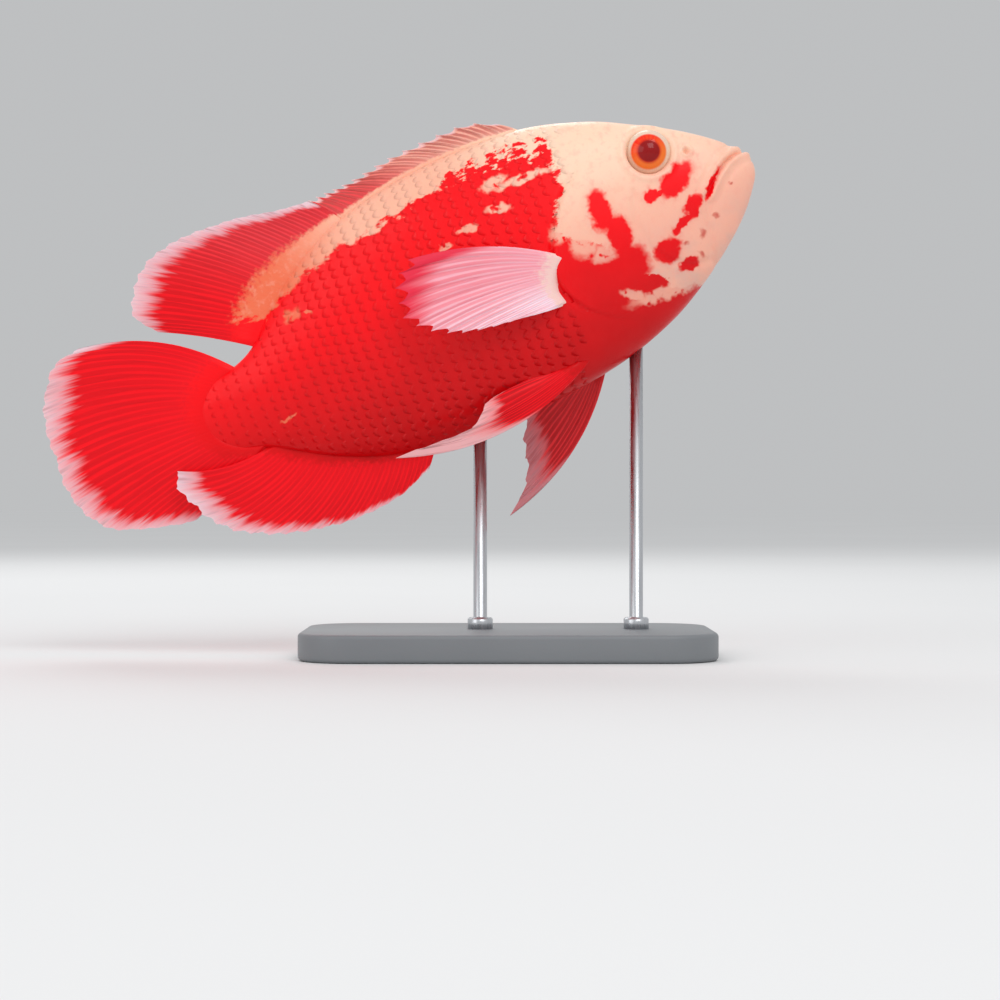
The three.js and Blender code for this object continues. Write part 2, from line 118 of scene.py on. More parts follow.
def walk(points, share):
    """The same curve at shares of its length."""
    dense = spline(points, np.linspace(0, 1, 400))
    steps = np.linalg.norm(np.diff(dense, axis=0), axis=1)
    length = np.concatenate([[0], np.cumsum(steps)])
    return np.stack([np.interp(share, length / length[-1], dense[:, i]) for i in (0, 1)], -1)


def line_distance(line, back, up):
    """Signed distance to a line of points in the side view, and the share along it."""
    line = np.asarray(line, float)
    best = np.full(np.shape(back), 1e9)
    signed = np.zeros(np.shape(back))
    along = np.zeros(np.shape(back))
    for i, (a, b) in enumerate(zip(line[:-1], line[1:])):
        run = b - a
        share = np.clip(((back - a[0]) * run[0] + (up - a[1]) * run[1]) / (run @ run), 0, 1)
        away = np.hypot(back - a[0] - share * run[0], up - a[1] - share * run[1])
        turn = run[0] * (up - a[1]) - run[1] * (back - a[0])
        nearer = away < best
        best = np.where(nearer, away, best)
        signed = np.where(nearer, away * np.sign(turn), signed)
        along = np.where(nearer, (i + share) / (len(line) - 1), along)
    return signed, along


print("a bump one width away is", round(float(bump(1, 1)), 2))

# %% [markdown]
# ## The body
# A fish's body is a row of sections, each a rounded oval. A few stations give the height of the
# back and of the belly and the half width. They could be sculpted by eye, but named
# stations keep the outline true to the solids and easy to change.

# %% The stations of the body
#           back    top   belly  half width, all in millimetres
STATIONS = [
    (0, 6.2, 6.2, 0),
    (0.6, 9.6, 2.6, 3.6),
    (3, 12.6, -1.6, 6.4),
    (10.2, 19.6, -10, 9.8),
    (21.2, 27.9, -19, 13),
    (34.8, 36, -27.8, 15.8),
    (50.5, 44.2, -35.5, 18.4),
    (72.5, 51.2, -41.9, 20.4),
    (98, 53.2, -44.9, 20.8),
    (123.7, 52, -44.9, 18.8),
    (147.5, 47.4, -42.8, 15.4),
    (165.8, 39.6, -38.8, 12.1),
    (182.3, 28.6, -31.8, 9.2),
    (195, 17.8, -24.2, 7.1),
    (204.2, 13.8, -18.4, 5.5),
    (213.4, 12.2, -15.4, 3.7),
    (221.5, 7.6, -10.4, 1.9),
    (228, 3.6, -6.6, 0.6),
]
WIDEST_SHARE = 0.52
ROUND_CROWN = 0.6
ROUND_BACK = 1.1
ROUND_BELLY = 0.86
# The broad crown of the head turns into the narrower back between these distances
CROWN_START = 32
CROWN_END = 84
COAT_DEPTH = 0.1


def section(shares, angles):
    """Points (back, side, up) of sections at these shares, at angles from the right flank up."""
    back, top, belly, half = np.moveaxis(spline(STATIONS, shares), -1, 0)[..., None]
    top, belly = top - COAT_DEPTH, belly + COAT_DEPTH
    half = np.maximum(half - COAT_DEPTH, 0)
    middle = mix(belly, top, WIDEST_SHARE)
    above = np.sin(angles) > 0
    crown = mix(ROUND_CROWN, ROUND_BACK, smooth(CROWN_START, CROWN_END, back))
    power = np.where(above, crown, ROUND_BELLY)
    reach = np.where(above, top - middle, middle - belly)
    wide = np.sign(np.cos(angles)) * np.abs(np.cos(angles)) ** power
    return np.stack(np.broadcast_arrays(back, -half * wide, middle + reach * np.sin(angles)), -1)


def half_width(back, up):
    """The half width of the body at a distance back and a height."""
    shares = np.linspace(0, 1, 800)
    rings = spline(STATIONS, shares)
    top, belly, half = (np.interp(back, rings[:, 0], rings[:, i]) for i in (1, 2, 3))
    middle = mix(belly, top, WIDEST_SHARE)
    reach = np.where(up > middle, top - middle, middle - belly)
    sine = np.clip(np.abs(up - middle) / reach, 0, 1)
    crown = mix(ROUND_CROWN, ROUND_BACK, smooth(CROWN_START, CROWN_END, back))
    return half * np.sqrt(1 - sine**2) ** np.where(up > middle, crown, ROUND_BELLY)


print("deepest section:", max(s[1] - s[2] for s in STATIONS), "mm")

# %% [markdown]
# ## The face in relief
# Lips, the slit of the mouth, the rim of the eye socket, the nostril, the cheek fold and the
# gill cover give the head its character. Each is a height over the skin, found from the
# distance to a line or a spot in the side view, so no seam can open between them.

# %% The places of the face
EYE = {"back": 35.0, "up": 23.4, "side": 9.4, "radius": 8.6, "depth": 7.6}
NOSTRIL = {"back": 22.0, "up": 18.6}
MOUTH_LINE = [(0.2, 11.2), (5.5, 11), (10, 9.7), (15, 6.6), (20, 2.2), (23.6, -1.6)]
JAW_FOLD = [(22.5, -2.5), (24.6, -8), (26.3, -15), (28, -22)]
CHEEK_FOLD = [(46, 12), (49.5, 2), (48.5, -8), (43.5, -16), (36, -20.5), (29, -21)]
MAXILLA = [(11.5, 13.2), (17, 10.6), (22, 6.6), (25.4, 1.8), (26.6, -3)]
GILL_OUTLINE = [
    (58, 27.5), (69, 21), (76.5, 12), (81, 3), (83.5, -6), (81, -15),
    (73, -24), (60, -30.5), (47, -30.5), (41.5, -23), (47.5, -13), (51.5, 0), (52.5, 15),
]
# How far each form stands proud of the skin or is sunk into it, and how far from the
# mouth's line the lips are highest and end
GILL_PROUD = 0.75
GILL_SLOT = 1.35
GILL_BORDER = 0.22
MOUTH_DEPTH = 1.6
LIP_HEIGHT = 0.9
LIP_MIDDLE = 1.75
LIP_END = 4.4
JAW_FOLD_DEPTH = 0.55
CHEEK_FOLD_DEPTH = 0.5
MAXILLA_HEIGHT = 0.55
SOCKET_DEPTH = 6.5
SOCKET_RIM = 0.6
NOSTRIL_DEPTH = 1.8
NOSTRIL_RIM = 0.5


def closed_outline(points, count=72):
    """A smooth closed line through a few points."""
    ring = points[-1:] + points + points[:2]
    shares = (1 + np.arange(count + 1) / count * len(points)) / (len(ring) - 1)
    return spline(ring, shares)


def gill_height(back, up):
    """The gill cover: flush with the cheek in front, with a free edge over a slot behind."""
    outline = closed_outline(GILL_OUTLINE)
    away, _ = line_distance(outline, back, up)
    inside = -away
    free_edge = smooth(56, 74, back - 0.1 * up) * mix(0.06, 1, smooth(-22, -6, up))
    rise = smooth(48, 74, back - 0.2 * up) * smooth(-34, -8, up)
    plate = smooth(-0.35, 0.5, inside) * GILL_PROUD * rise
    slot = bump(inside + 0.9, 0.8) * GILL_SLOT * free_edge
    border = bump(inside - 3.2, 1.4) * GILL_BORDER * free_edge
    return plate - slot - border


def face_height(back, up):
    """Height over the plain body, in millimetres."""
    across, along = line_distance(MOUTH_LINE, back, up)
    fade = 1 - smooth(0.86, 1, along)
    slit = -np.minimum(0.7 + 3 * along, MOUTH_DEPTH) * bump(across, 0.55) * fade
    lip_form = bump(np.abs(across) - LIP_MIDDLE, 1.0) * fade
    lips = np.minimum(0.45 + 1.6 * along, LIP_HEIGHT) * lip_form
    behind_lip = -0.4 * bump(across - LIP_END, 0.9) * fade
    behind_lip = behind_lip - 0.3 * bump(across + LIP_END, 0.9) * fade
    jaw = -JAW_FOLD_DEPTH * bump(line_distance(JAW_FOLD, back, up)[0], 1.3)
    cheek = -CHEEK_FOLD_DEPTH * bump(line_distance(CHEEK_FOLD, back, up)[0], 1.2)
    maxilla = MAXILLA_HEIGHT * bump(line_distance(MAXILLA, back, up)[0], 1.4)
    from_eye = np.hypot(back - EYE["back"], up - EYE["up"])
    socket = SOCKET_DEPTH * (1 - smooth(6.2, 8.5, from_eye))
    rim = SOCKET_RIM * bump(from_eye - 9.9, 1.1) - socket
    from_nostril = np.hypot(back - NOSTRIL["back"], up - NOSTRIL["up"])
    pit = NOSTRIL_DEPTH * bump(from_nostril, 0.95)
    nostril = NOSTRIL_RIM * bump(from_nostril - 1.75, 0.6) - pit
    return slit + lips + behind_lip + jaw + cheek + maxilla + rim + nostril


print("the socket of the eye is", round(float(-face_height(EYE["back"], EYE["up"])), 1), "mm deep")

# %% [markdown]
# ## Making meshes
# One helper turns arrays of points and faces into an object with smooth shading, and turns its
# faces outward. The object stays at the scene's origin, with its place in its mesh, as the solids
# have it. The same few ways to join points into faces serve every solid: a grid, a grid of rings
# closed at both ends, a turned profile and a thin closed sheet.

# %% A mesh from arrays
def new_mesh(name, points, faces, material=None, values=None, flat=0):
    """A smooth mesh object from points in metres, with named values; its last faces may be flat."""
    mesh = bpy.data.meshes.new(name)
    mesh.from_pydata(np.asarray(points).reshape(-1, 3).tolist(), [], faces)
    count = len(mesh.polygons)
    mesh.polygons.foreach_set("use_smooth", [i < count - flat for i in range(count)])
    for key, numbers in (values or {}).items():
        kind = "FLOAT" if np.ndim(numbers) == 1 else "FLOAT_VECTOR"
        layer = mesh.attributes.new(key, kind, "POINT")
        layer.data.foreach_set("value" if kind == "FLOAT" else "vector", np.ravel(numbers))
    mesh.validate()
    # A solid whose faces look outward has a volume above zero; one face alone is only a floor
    solid = bmesh.new()
    solid.from_mesh(mesh)
    if count > 1 and solid.calc_volume(signed=True) < 0:
        mesh.flip_normals()
    solid.free()
    piece = bpy.data.objects.new(name, mesh)
    bpy.context.scene.collection.objects.link(piece)
    if material:
        mesh.materials.append(material)
    return piece


def grid_faces(rows, columns, wrap=False, start=0):
    """Quads between the points of a grid of rows; wrap joins the last column to the first."""
    row, column = np.meshgrid(np.arange(rows - 1), np.arange(columns - (not wrap)), indexing="ij")
    beside = (column + 1) % columns
    quads = [row * columns + column, row * columns + beside,
             (row + 1) * columns + beside, (row + 1) * columns + column]
    return np.stack(quads, -1).reshape(-1, 4) + start


def closed_rings(rings, first, last):
    """Points and faces of a grid of rings, closed by a fan to a point at each end."""
    rows, around = rings.shape[:2]
    faces = grid_faces(rows, around, wrap=True).tolist()
    end = (rows - 1) * around
    beside = [(i + 1) % around for i in range(around)]
    faces += [[rows * around, beside[i], i] for i in range(around)]
    faces += [[rows * around + 1, end + i, end + beside[i]] for i in range(around)]
    return np.concatenate([rings.reshape(-1, 3), [first, last]]), faces


def turned_solid(profile, sides, place):
    """A profile of (radius, height) turned about an axis; place puts (x, y, height) in space."""
    turn = np.linspace(0, 2 * math.pi, sides, endpoint=False)
    rings = np.array([[place(radius * math.cos(t), radius * math.sin(t), height) for t in turn]
                      for radius, height in profile[1:-1]])
    return closed_rings(rings, place(0, 0, profile[0][1]), place(0, 0, profile[-1][1]))


def sheet_faces(rows, columns):
    """Faces of a thin closed sheet, top, underside and last the rim, and the rim's count."""
    n = rows * columns
    rim = (list(range(columns)) + [row * columns + columns - 1 for row in range(1, rows)]
           + [n - 1 - i for i in range(1, columns)]
           + [row * columns for row in range(rows - 2, 0, -1)])
    faces = grid_faces(rows, columns).tolist()
    faces += grid_faces(rows, columns, start=n)[:, ::-1].tolist()
    faces += [[rim[i - 1], rim[i - 1] + n, rim[i] + n, rim[i]] for i in range(len(rim))]
    return faces, len(rim)


def finished(piece, *nodes, slot):
    """The piece rides on the model's one body and stands for these nodes of the solids."""
    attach(piece, "root")
    if nodes:
        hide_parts(*nodes)
    print(f"{piece.name}: {len(piece.data.polygons)} faces")
    return piece


print("a sheet of 2 by 2 points has", len(sheet_faces(2, 2)[0]), "faces")

# %% [markdown]
# ## Nodes in short words
# Materials and geometry trees are both built from nodes. This small class adds a node, sets or
# links its inputs, and gives back its output, so that a long tree reads as a few lines of sums.

# %% A graph of nodes
class Graph:
    """Adds nodes to a tree. A value for an input is a number, a colour or another output."""

    def __init__(self, tree):
        self.tree = tree

    def add(self, kind, values=None, **settings):
        node = self.tree.nodes.new(kind)
        for key, setting in settings.items():
            setattr(node, key, setting)
        for key, value in (values or {}).items():
            self.feed(node.inputs[key], value)
        return node

    def feed(self, socket, value):
        if isinstance(value, bpy.types.NodeSocket):
            self.tree.links.new(value, socket)
        else:
            socket.default_value = value

    def math(self, operation, a, b=0.0, clamp=False):
        node = self.add("ShaderNodeMath", {0: a, 1: b}, operation=operation, use_clamp=clamp)
        return node.outputs[0]

    def plus(self, a, b):
        return self.math("ADD", a, b)

    def minus(self, a, b, clamp=False):
        return self.math("SUBTRACT", a, b, clamp)

    def times(self, a, b):
        return self.math("MULTIPLY", a, b)

    def most(self, a, b):
        return self.math("MAXIMUM", a, b)

    def vector(self, operation, a, b=(0, 0, 0), **more):
        node = self.add("ShaderNodeVectorMath", {0: a, 1: b}, operation=operation)
        if "scale" in more:
            self.feed(node.inputs["Scale"], more["scale"])
        return node.outputs["Value" if operation in ("LENGTH", "DOT_PRODUCT") else "Vector"]

    def step(self, value, low, high, start=0.0, end=1.0):
        """A smooth step from low to high."""
        wanted = {"Value": value, "From Min": low, "From Max": high, "To Min": start, "To Max": end}
        return self.add("ShaderNodeMapRange", wanted, interpolation_type="SMOOTHSTEP").outputs[0]

    def blend(self, mask, a, b, way="MIX"):
        node = self.add("ShaderNodeMix", data_type="RGBA", blend_type=way)
        for place, value in ((0, mask), (6, a), (7, b)):
            self.feed(node.inputs[place], value)
        return node.outputs[2]

    def noise(self, where, scale, detail=2.0, roughness=0.5, output="Fac"):
        wanted = {"Vector": where, "Scale": scale, "Detail": detail, "Roughness": roughness}
        return self.add("ShaderNodeTexNoise", wanted).outputs[output]

    def curve(self, value, points, x_range, y_range):
        """A value read off a smooth curve through a few points."""
        node = self.add("ShaderNodeFloatCurve")
        across = self.add("ShaderNodeMapRange", {
            "Value": value, "From Min": x_range[0], "From Max": x_range[1]}).outputs[0]
        self.feed(node.inputs["Value"], across)
        line = node.mapping.curves[0]
        while len(line.points) < len(points):
            line.points.new(0.5, 0.5)
        for point, (x, y) in zip(line.points, sorted(points)):
            point.location = ((x - x_range[0]) / (x_range[1] - x_range[0]),
                              (y - y_range[0]) / (y_range[1] - y_range[0]))
        node.mapping.update()
        wanted = {"Value": node.outputs[0], "To Min": y_range[0], "To Max": y_range[1]}
        return self.add("ShaderNodeMapRange", wanted).outputs[0]


def colour(red, green, blue):
    """A colour as the eye names it, 0 to 255, as the linear light that shaders add up."""
    values = [channel / 255 for channel in (red, green, blue)]
    return (*[v / 12.92 if v <= 0.04045 else ((v + 0.055) / 1.055) ** 2.4 for v in values], 1)


def new_group(name, inputs, outputs):
    """An empty group of shader nodes; inputs and outputs are (name, kind, starting value)."""
    tree = bpy.data.node_groups.new(name, "ShaderNodeTree")
    for way, sockets in (("INPUT", inputs), ("OUTPUT", outputs)):
        for label, kind, value in sockets:
            made = tree.interface.new_socket(label, in_out=way, socket_type="NodeSocket" + kind)
            if value is not None:
                made.default_value = value
    graph = Graph(tree)
    return graph, graph.add("NodeGroupInput").outputs, graph.add("NodeGroupOutput").inputs


print("mid grey as light:", round(colour(128, 128, 128)[0], 3))

# %% [markdown]
# ## Where on the fish
# A shader only knows the scene's coordinates, so one group undoes the tilt of the fish and
# gives level millimetres: X is back, Y is side, Z is up. All markings are drawn in these,
# and skin, scales and eyes therefore agree wherever they touch.

# %% The group for level coordinates
level_graph, level_in, level_out = new_group(
    "LevelMillimetres", [("Object", "Vector", None)], [("Level", "Vector", None)])
from_snout = level_graph.vector("SUBTRACT", level_in["Object"], tuple(SNOUT))
turned = level_graph.add("ShaderNodeVectorRotate", {"Vector": from_snout, "Angle": NOSE_UP},
                         rotation_type="Y_AXIS")
level = level_graph.vector("MULTIPLY", turned.outputs[0], (-1000, 1000, 1000))
level_graph.feed(level_out["Level"], level)


def place_group(graph, name, values=None):
    """Puts a finished group in a material and gives back its node."""
    node = graph.add("ShaderNodeGroup", node_tree=bpy.data.node_groups[name])
    for key, value in (values or {}).items():
        graph.feed(node.inputs[key], value)
    return node


def new_material(name, **shader):
    """A material with a Principled shader; gives it, its graph and the place on the object."""
    material = bpy.data.materials.new(name)
    material.use_nodes = True
    graph = Graph(material.node_tree)
    dress(material, graph, {key.replace("_", " "): value for key, value in shader.items()})
    return material, graph, graph.add("ShaderNodeTexCoord").outputs["Object"]


def level_at(graph, where):
    """The level millimetres of a place."""
    return place_group(graph, "LevelMillimetres", {"Object": where}).outputs["Level"]


def dress(material, graph, looks, relief=None):
    """Feeds the shader's sockets. A relief is a height, its strength and its depth in metres."""
    shader = material.node_tree.nodes["Principled BSDF"].inputs
    if relief:
        bumps = graph.add("ShaderNodeBump", dict(zip(("Height", "Strength", "Distance"), relief)))
        looks = {**looks, "Normal": bumps.outputs[0]}
    for key, value in looks.items():
        graph.feed(shader[key], value)
    return material


print("level group:", len(level_graph.tree.nodes), "nodes")

# %% [markdown]
# ## The markings
# The fish is cream with a ragged red mantle. Real pigment grows in patches that break up at
# their edges, so each patch is a soft oval or a side of a curve, and noise bends the
# coordinates before they are compared. A painted picture would stretch over the belly and need
# a flat map; patches drawn in space don't.

# %% Where the colours lie
# The height where the cream back meets the red flank, at distances back
CREAM_BORDER = [(60, 39), (70, 40), (80, 43.5), (95, 43.5), (106, 43), (127, 40.5), (151, 37),
                (174, 30.5), (183, 27), (190, 27), (197, 30), (280, 34)]
# The distance back where the face's cream ends, at heights
SHOULDER = [(-60, 34), (-22, 46), (-18, 50), (-13, 57), (-6, 61), (0, 66), (6, 74), (10, 76.5),
            (16, 73.5), (23, 70), (37, 69), (60, 69)]
# The height below which the throat is red, at distances back
THROAT = [(14, -60), (24, -40), (30, -31), (37, -27), (45, -27.2), (56, -28), (63, -22),
          (74, -12), (280, 0)]
#               back    up  half length, half height, turned by degrees
RED_PATCHES = {
    "under the eye": (29.6, 10.4, 8.2, 4.2, 27),
    "cheek spot": (41, 8.6, 3.0, 2.5, 0),
    "between them": (37.2, 7.8, 2.8, 1.0, 10),
    "mouth corner": (18, 4.4, 6.8, 1.3, 43),
    "behind the mouth": (28.2, -1.0, 5.4, 2.4, 46),
    "along the cheek": (34.2, -5.2, 5.4, 1.6, 24),
    "cheek low": (43, -12.2, 5.4, 4.4, 20),
    "cheek lowest": (37.7, -19.3, 3.6, 2.1, 8),
    "gill band": (59.6, 10.4, 4.2, 8.0, -6),
    "gill band waist": (57, 0.5, 4.6, 7.5, 0),
    "gill band foot": (58.5, -11, 8.5, 7.5, 0),
    "nape island": (77, 45, 2.4, 0.9, -8),
}
CREAM_PATCHES = {
    "gill mottle high": (74.6, 9.8, 5.4, 4.2, 20),
    "gill mottle middle": (69.6, 2.4, 5.6, 4.8, 30),
    "gill mottle low": (65.6, -4.4, 4.0, 3.2, 0),
    "nape vein": (80.5, 32.4, 10.0, 1.5, -4),
    "nape crumbs": (91, 35.4, 5.0, 2.2, 8),
    "throat streak": (48, -25.2, 14.0, 2.3, -2),
    "throat streak end": (60.6, -21.9, 4.6, 2.0, -36),
    "flank crumbs": (93, 26.2, 4.2, 1.5, -12),
    "flank crumbs behind": (106, 23.2, 3.8, 1.2, -8),
    "flank crumbs last": (116, 21, 2.2, 0.9, 0),
    "flank fleck": (176.5, 21.8, 3.4, 2.3, 20),
    "flank crumb": (170.5, 19.6, 1.3, 0.5, -30),
    "stalk fleck": (193.2, -12, 3.0, 0.7, 12),
}
FRECKLES = {
    "jaw": (21.4, -7.3, 1.1, 0.8, 10),
    "jaw back": (28.9, -11.1, 1.2, 1.7, 0),
    "jaw low": (31.7, -17.6, 0.9, 1.3, 0),
    "lip": (12.5, 1.5, 0.8, 0.6, 0),
    "cheek": (36, -12.5, 0.9, 0.8, 0),
}
CREAM = colour(255, 214, 186)
PEACH_BACK = colour(253, 184, 156)
CHEEK = colour(248, 172, 150)
HALO = colour(236, 96, 96)
GREY_CREAM = colour(214, 178, 166)
RED = colour(255, 4, 18)
# The darker red of painted shade low on the body, and of random mottle
SHADE_AND_MOTTLE_RED = colour(186, 0, 4)
ORANGE = colour(242, 116, 80)
FRECKLE = colour(196, 34, 20)
print("patches:", len(RED_PATCHES), "red,", len(CREAM_PATCHES), "cream,", len(FRECKLES), "freckles")

# %% The group for the markings and the painted shade
marks, marks_in, marks_out = new_group(
    "FishMarkingsAndShade", [("Level", "Vector", None)],
    [("Colour", "Color", None)])
# The side counts for a third, so that a ragged edge stays alike from flank to back
flat = marks.vector("MULTIPLY", marks_in["Level"], (1, 0.35, 1))


def bent(where, scale, reach, detail=3.0):
    """The same place, pushed about by noise, to make an edge ragged."""
    cloud = marks.noise(where, scale, detail, 0.62, "Color")
    push = marks.vector("SUBTRACT", cloud, (0.5, 0.5, 0.5))
    return marks.vector("ADD", where, marks.vector("SCALE", push, scale=reach))


def oval(where, patch, soft):
    """1 inside an oval patch, 0 outside."""
    back, up, length, height, turn = patch
    wanted = {"Vector": where, "Location": (back, 0, up),
              "Rotation": (0, math.radians(turn), 0), "Scale": (length, 1000, height)}
    near = marks.add("ShaderNodeMapping", wanted, vector_type="TEXTURE").outputs[0]
    return marks.step(marks.vector("LENGTH", near), 1 + soft, 1 - soft)


def any_of(where, patches, soft):
    """1 inside any of the patches."""
    masks = [oval(where, patch, soft) for patch in patches.values()]
    while len(masks) > 1:
        masks.append(marks.most(masks.pop(0), masks.pop(0)))
    return masks[0]


coarse = bent(flat, 0.09, 7.0)
fine = bent(flat, 0.22, 5.6, 2.2)
spot = marks.add("ShaderNodeSeparateXYZ", {0: coarse}).outputs
plain_spot = marks.add("ShaderNodeSeparateXYZ", {0: marks_in["Level"]}).outputs
border = marks.curve(spot[0], CREAM_BORDER, (0, 280), (-60, 60))
shoulder = marks.curve(spot[2], SHOULDER, (-60, 60), (0, 100))
throat = marks.curve(spot[0], THROAT, (0, 280), (-60, 60))

# Noise of the size of a scale breaks every edge into islands, most of all on the front flank
grain = marks.noise(marks.vector("MULTIPLY", flat, (0.8, 1, 1.5)), 0.21, 4.0, 0.62)
grain = marks.minus(grain, 0.5)
reach = marks.step(plain_spot[0], 140, 95, 15.0, 34.0)
broken = marks.times(grain, reach)
below = marks.plus(marks.minus(border, spot[2]), broken)
below_border = marks.step(below, -1.0, 1.3)
broken_front = marks.times(grain, 14.0)
behind = marks.plus(marks.minus(spot[0], shoulder), broken_front)
flank = marks.times(below_border, marks.step(behind, -0.7, 0.9))
lower = marks.plus(marks.minus(throat, spot[2]), marks.times(grain, 6.0))
under_throat = marks.step(lower, -0.6, 0.6)
reds = marks.most(marks.most(flank, under_throat), any_of(fine, RED_PATCHES, 0.2))
# Lace is finer noise that leaves holes in the cream patches
lace = marks.step(marks.noise(flat, 0.38, 1.6, 0.5), 0.3, 0.44)
creams = marks.times(any_of(fine, CREAM_PATCHES, 0.35), lace)
red_mask = marks.times(reds, marks.minus(1.0, marks.times(creams, 0.85)))

# Red is brightest high on the flank and darker down the belly and the throat: painted shade, as if
# lit from above, with random mottle over it
low = marks.step(plain_spot[2], 24, -42)
mottle = marks.noise(flat, 0.09, 3.0)
painted_shade_and_mottle = marks.plus(marks.times(low, 0.8), marks.times(mottle, 0.3))
# The red goes darker with this painted shade and with the mottle
red = marks.blend(marks.minus(painted_shade_and_mottle, 0.2, clamp=True), RED, SHADE_AND_MOTTLE_RED)
blush = marks.times(marks.step(plain_spot[2], 34, -6), 0.8)
pale = marks.blend(blush, CREAM, CHEEK)
jaw_grey = marks.times(marks.step(plain_spot[2], 2, -16), marks.step(mottle, 0.35, 0.65))
pale = marks.blend(marks.times(jaw_grey, 0.55), pale, GREY_CREAM)
pale = marks.blend(marks.step(plain_spot[0], 70, 112), pale, PEACH_BACK)
pale = marks.blend(marks.step(plain_spot[0], 140, 180), pale, ORANGE)
clouds = marks.step(marks.noise(flat, 0.4, 4.0), 0.48, 0.72)
pale = marks.blend(marks.times(clouds, 0.35), pale, CHEEK)
halo = marks.times(any_of(fine, RED_PATCHES, 0.8), marks.step(clouds, 0, 1, 0.3, 0.65))
pale = marks.blend(halo, pale, HALO)
freckles = marks.times(any_of(fine, FRECKLES, 0.7), 0.7)
pale = marks.blend(freckles, pale, FRECKLE)
marks.feed(marks_out["Colour"], marks.blend(red_mask, pale, red))
print("markings:", len(marks.tree.nodes), "nodes")

# %% [markdown]
# ## Living skin
# Fish skin is wet: a soft body under a thin clear coat of slime. The Principled shader's coat
# gives the sharp highlight and a little subsurface scattering lets light bleed at thin edges.
# Fine noise in a Bump node stands for pores, which would be far too small for the mesh.

# %% The skin and scale materials
BUMP_DEPTH = 0.0002


def skin_material(name, pore_size, pore_depth):
    """Wet skin with the fish's markings and painted shade; pores are noise of this size and depth.
    """
    material, graph, where = new_material(
        name, Subsurface_Weight=0.06, Subsurface_Scale=0.004, Coat_Roughness=0.14,
        Specular_IOR_Level=0.16)
    level = level_at(graph, where)
    pores = graph.noise(level, pore_size, 3.0, 0.6)
    cloud = graph.noise(level, 0.12, 2.0)
    return dress(material, graph, {
        "Base Color": place_group(graph, "FishMarkingsAndShade", {"Level": level}).outputs["Colour"],
        "Roughness": graph.step(cloud, 0.3, 0.7, 0.34, 0.5),
        "Coat Weight": graph.step(pores, 0.25, 0.75, 0.2, 0.06),
    }, (pores, pore_depth, BUMP_DEPTH))


skin = skin_material("oscar_skin", 1.3, 0.35)
scale_finish = skin_material("oscar_scales", 2.2, 0.25)
print("materials:", skin.name, "and", scale_finish.name)

# %% [markdown]
# ## One skin
# The solids part the head, jaw, trunk and tail with thin cuts. The skin here is a single mesh of
# rings, close together on the head, where the face's relief needs many points, and wider apart
# on the plain flank. Each ring's points are evenly spaced along it.

# %% The body skin
HEAD_RING = 0.5
TRUNK_RING = 1.25
HEAD_END = 88
AROUND = 240

dense = np.linspace(0, 1, 6000)
profile = spline(STATIONS, dense)
step = np.linalg.norm(np.diff(profile, axis=0), axis=1)
spacing = mix(HEAD_RING, TRUNK_RING, smooth(HEAD_END, HEAD_END + 12, profile[1:, 0]))
count = np.concatenate([[0], np.cumsum(step / spacing)])
ring_shares = np.interp(np.arange(0.4, count[-1]), count, dense)
turn = np.linspace(math.pi / 2, math.pi * 5 / 2, 721)
oval_rings = section(ring_shares, turn)
skin_points = []
for ring in oval_rings:
    gaps = np.linalg.norm(np.diff(ring, axis=0), axis=1)
    length = np.concatenate([[0], np.cumsum(gaps)])
    even = np.linspace(0, length[-1], AROUND + 1)[:-1]
    skin_points.append(np.stack([np.interp(even, length, ring[:, i]) for i in range(3)], -1))
skin_points = np.array(skin_points)


def grid_normals(points):
    """Outward directions of a grid of rings."""
    along = np.gradient(points, axis=0)
    around = np.roll(points, -1, 1) - np.roll(points, 1, 1)
    normal = np.cross(around, along)
    outward = points - points.mean(1, keepdims=True)
    normal *= np.sign((normal * outward).sum(-1, keepdims=True))
    return normal / np.maximum(np.linalg.norm(normal, axis=-1, keepdims=True), 1e-9)


skin_normals = grid_normals(skin_points)
height = face_height(skin_points[..., 0], skin_points[..., 2])
height += gill_height(skin_points[..., 0], skin_points[..., 2])
skin_points = skin_points + skin_normals * height[..., None]
skin_normals = grid_normals(skin_points)

first, last = STATIONS[0], STATIONS[-1]
snout_point = (0, 0, first[1])
stalk_point = (last[0] + 0.3, 0, (last[1] + last[2]) / 2)
body_points, body_faces = closed_rings(skin_points, snout_point, stalk_point)
body = new_mesh("body_skin", to_scene(body_points), body_faces, skin)
finished(body, "head", "lower_jaw", "trunk", "tail_stalk", "gill_cover_right", "gill_cover_left",
         slot="body_skin")

# %% [markdown]
# ## Scales
# Scales lie in rows along the flank, each over the front of the one behind, like roof tiles.
# Loose points mark where each is rooted, with the skin's own direction there, and Geometry
# Nodes put one small plate on every point. Placing 1400 plates by hand isn't possible, and a
# picture of scales would show no edge in side light.

# %% The roots of the scales
SCALE_PITCH = 4.5
ROW_PITCH = 3.7
FIRST_SCALE = 58.0
LAST_SCALE = 216.0
REAR_SCALE_SIZE = 0.62
MAP_EDGE = 0.02


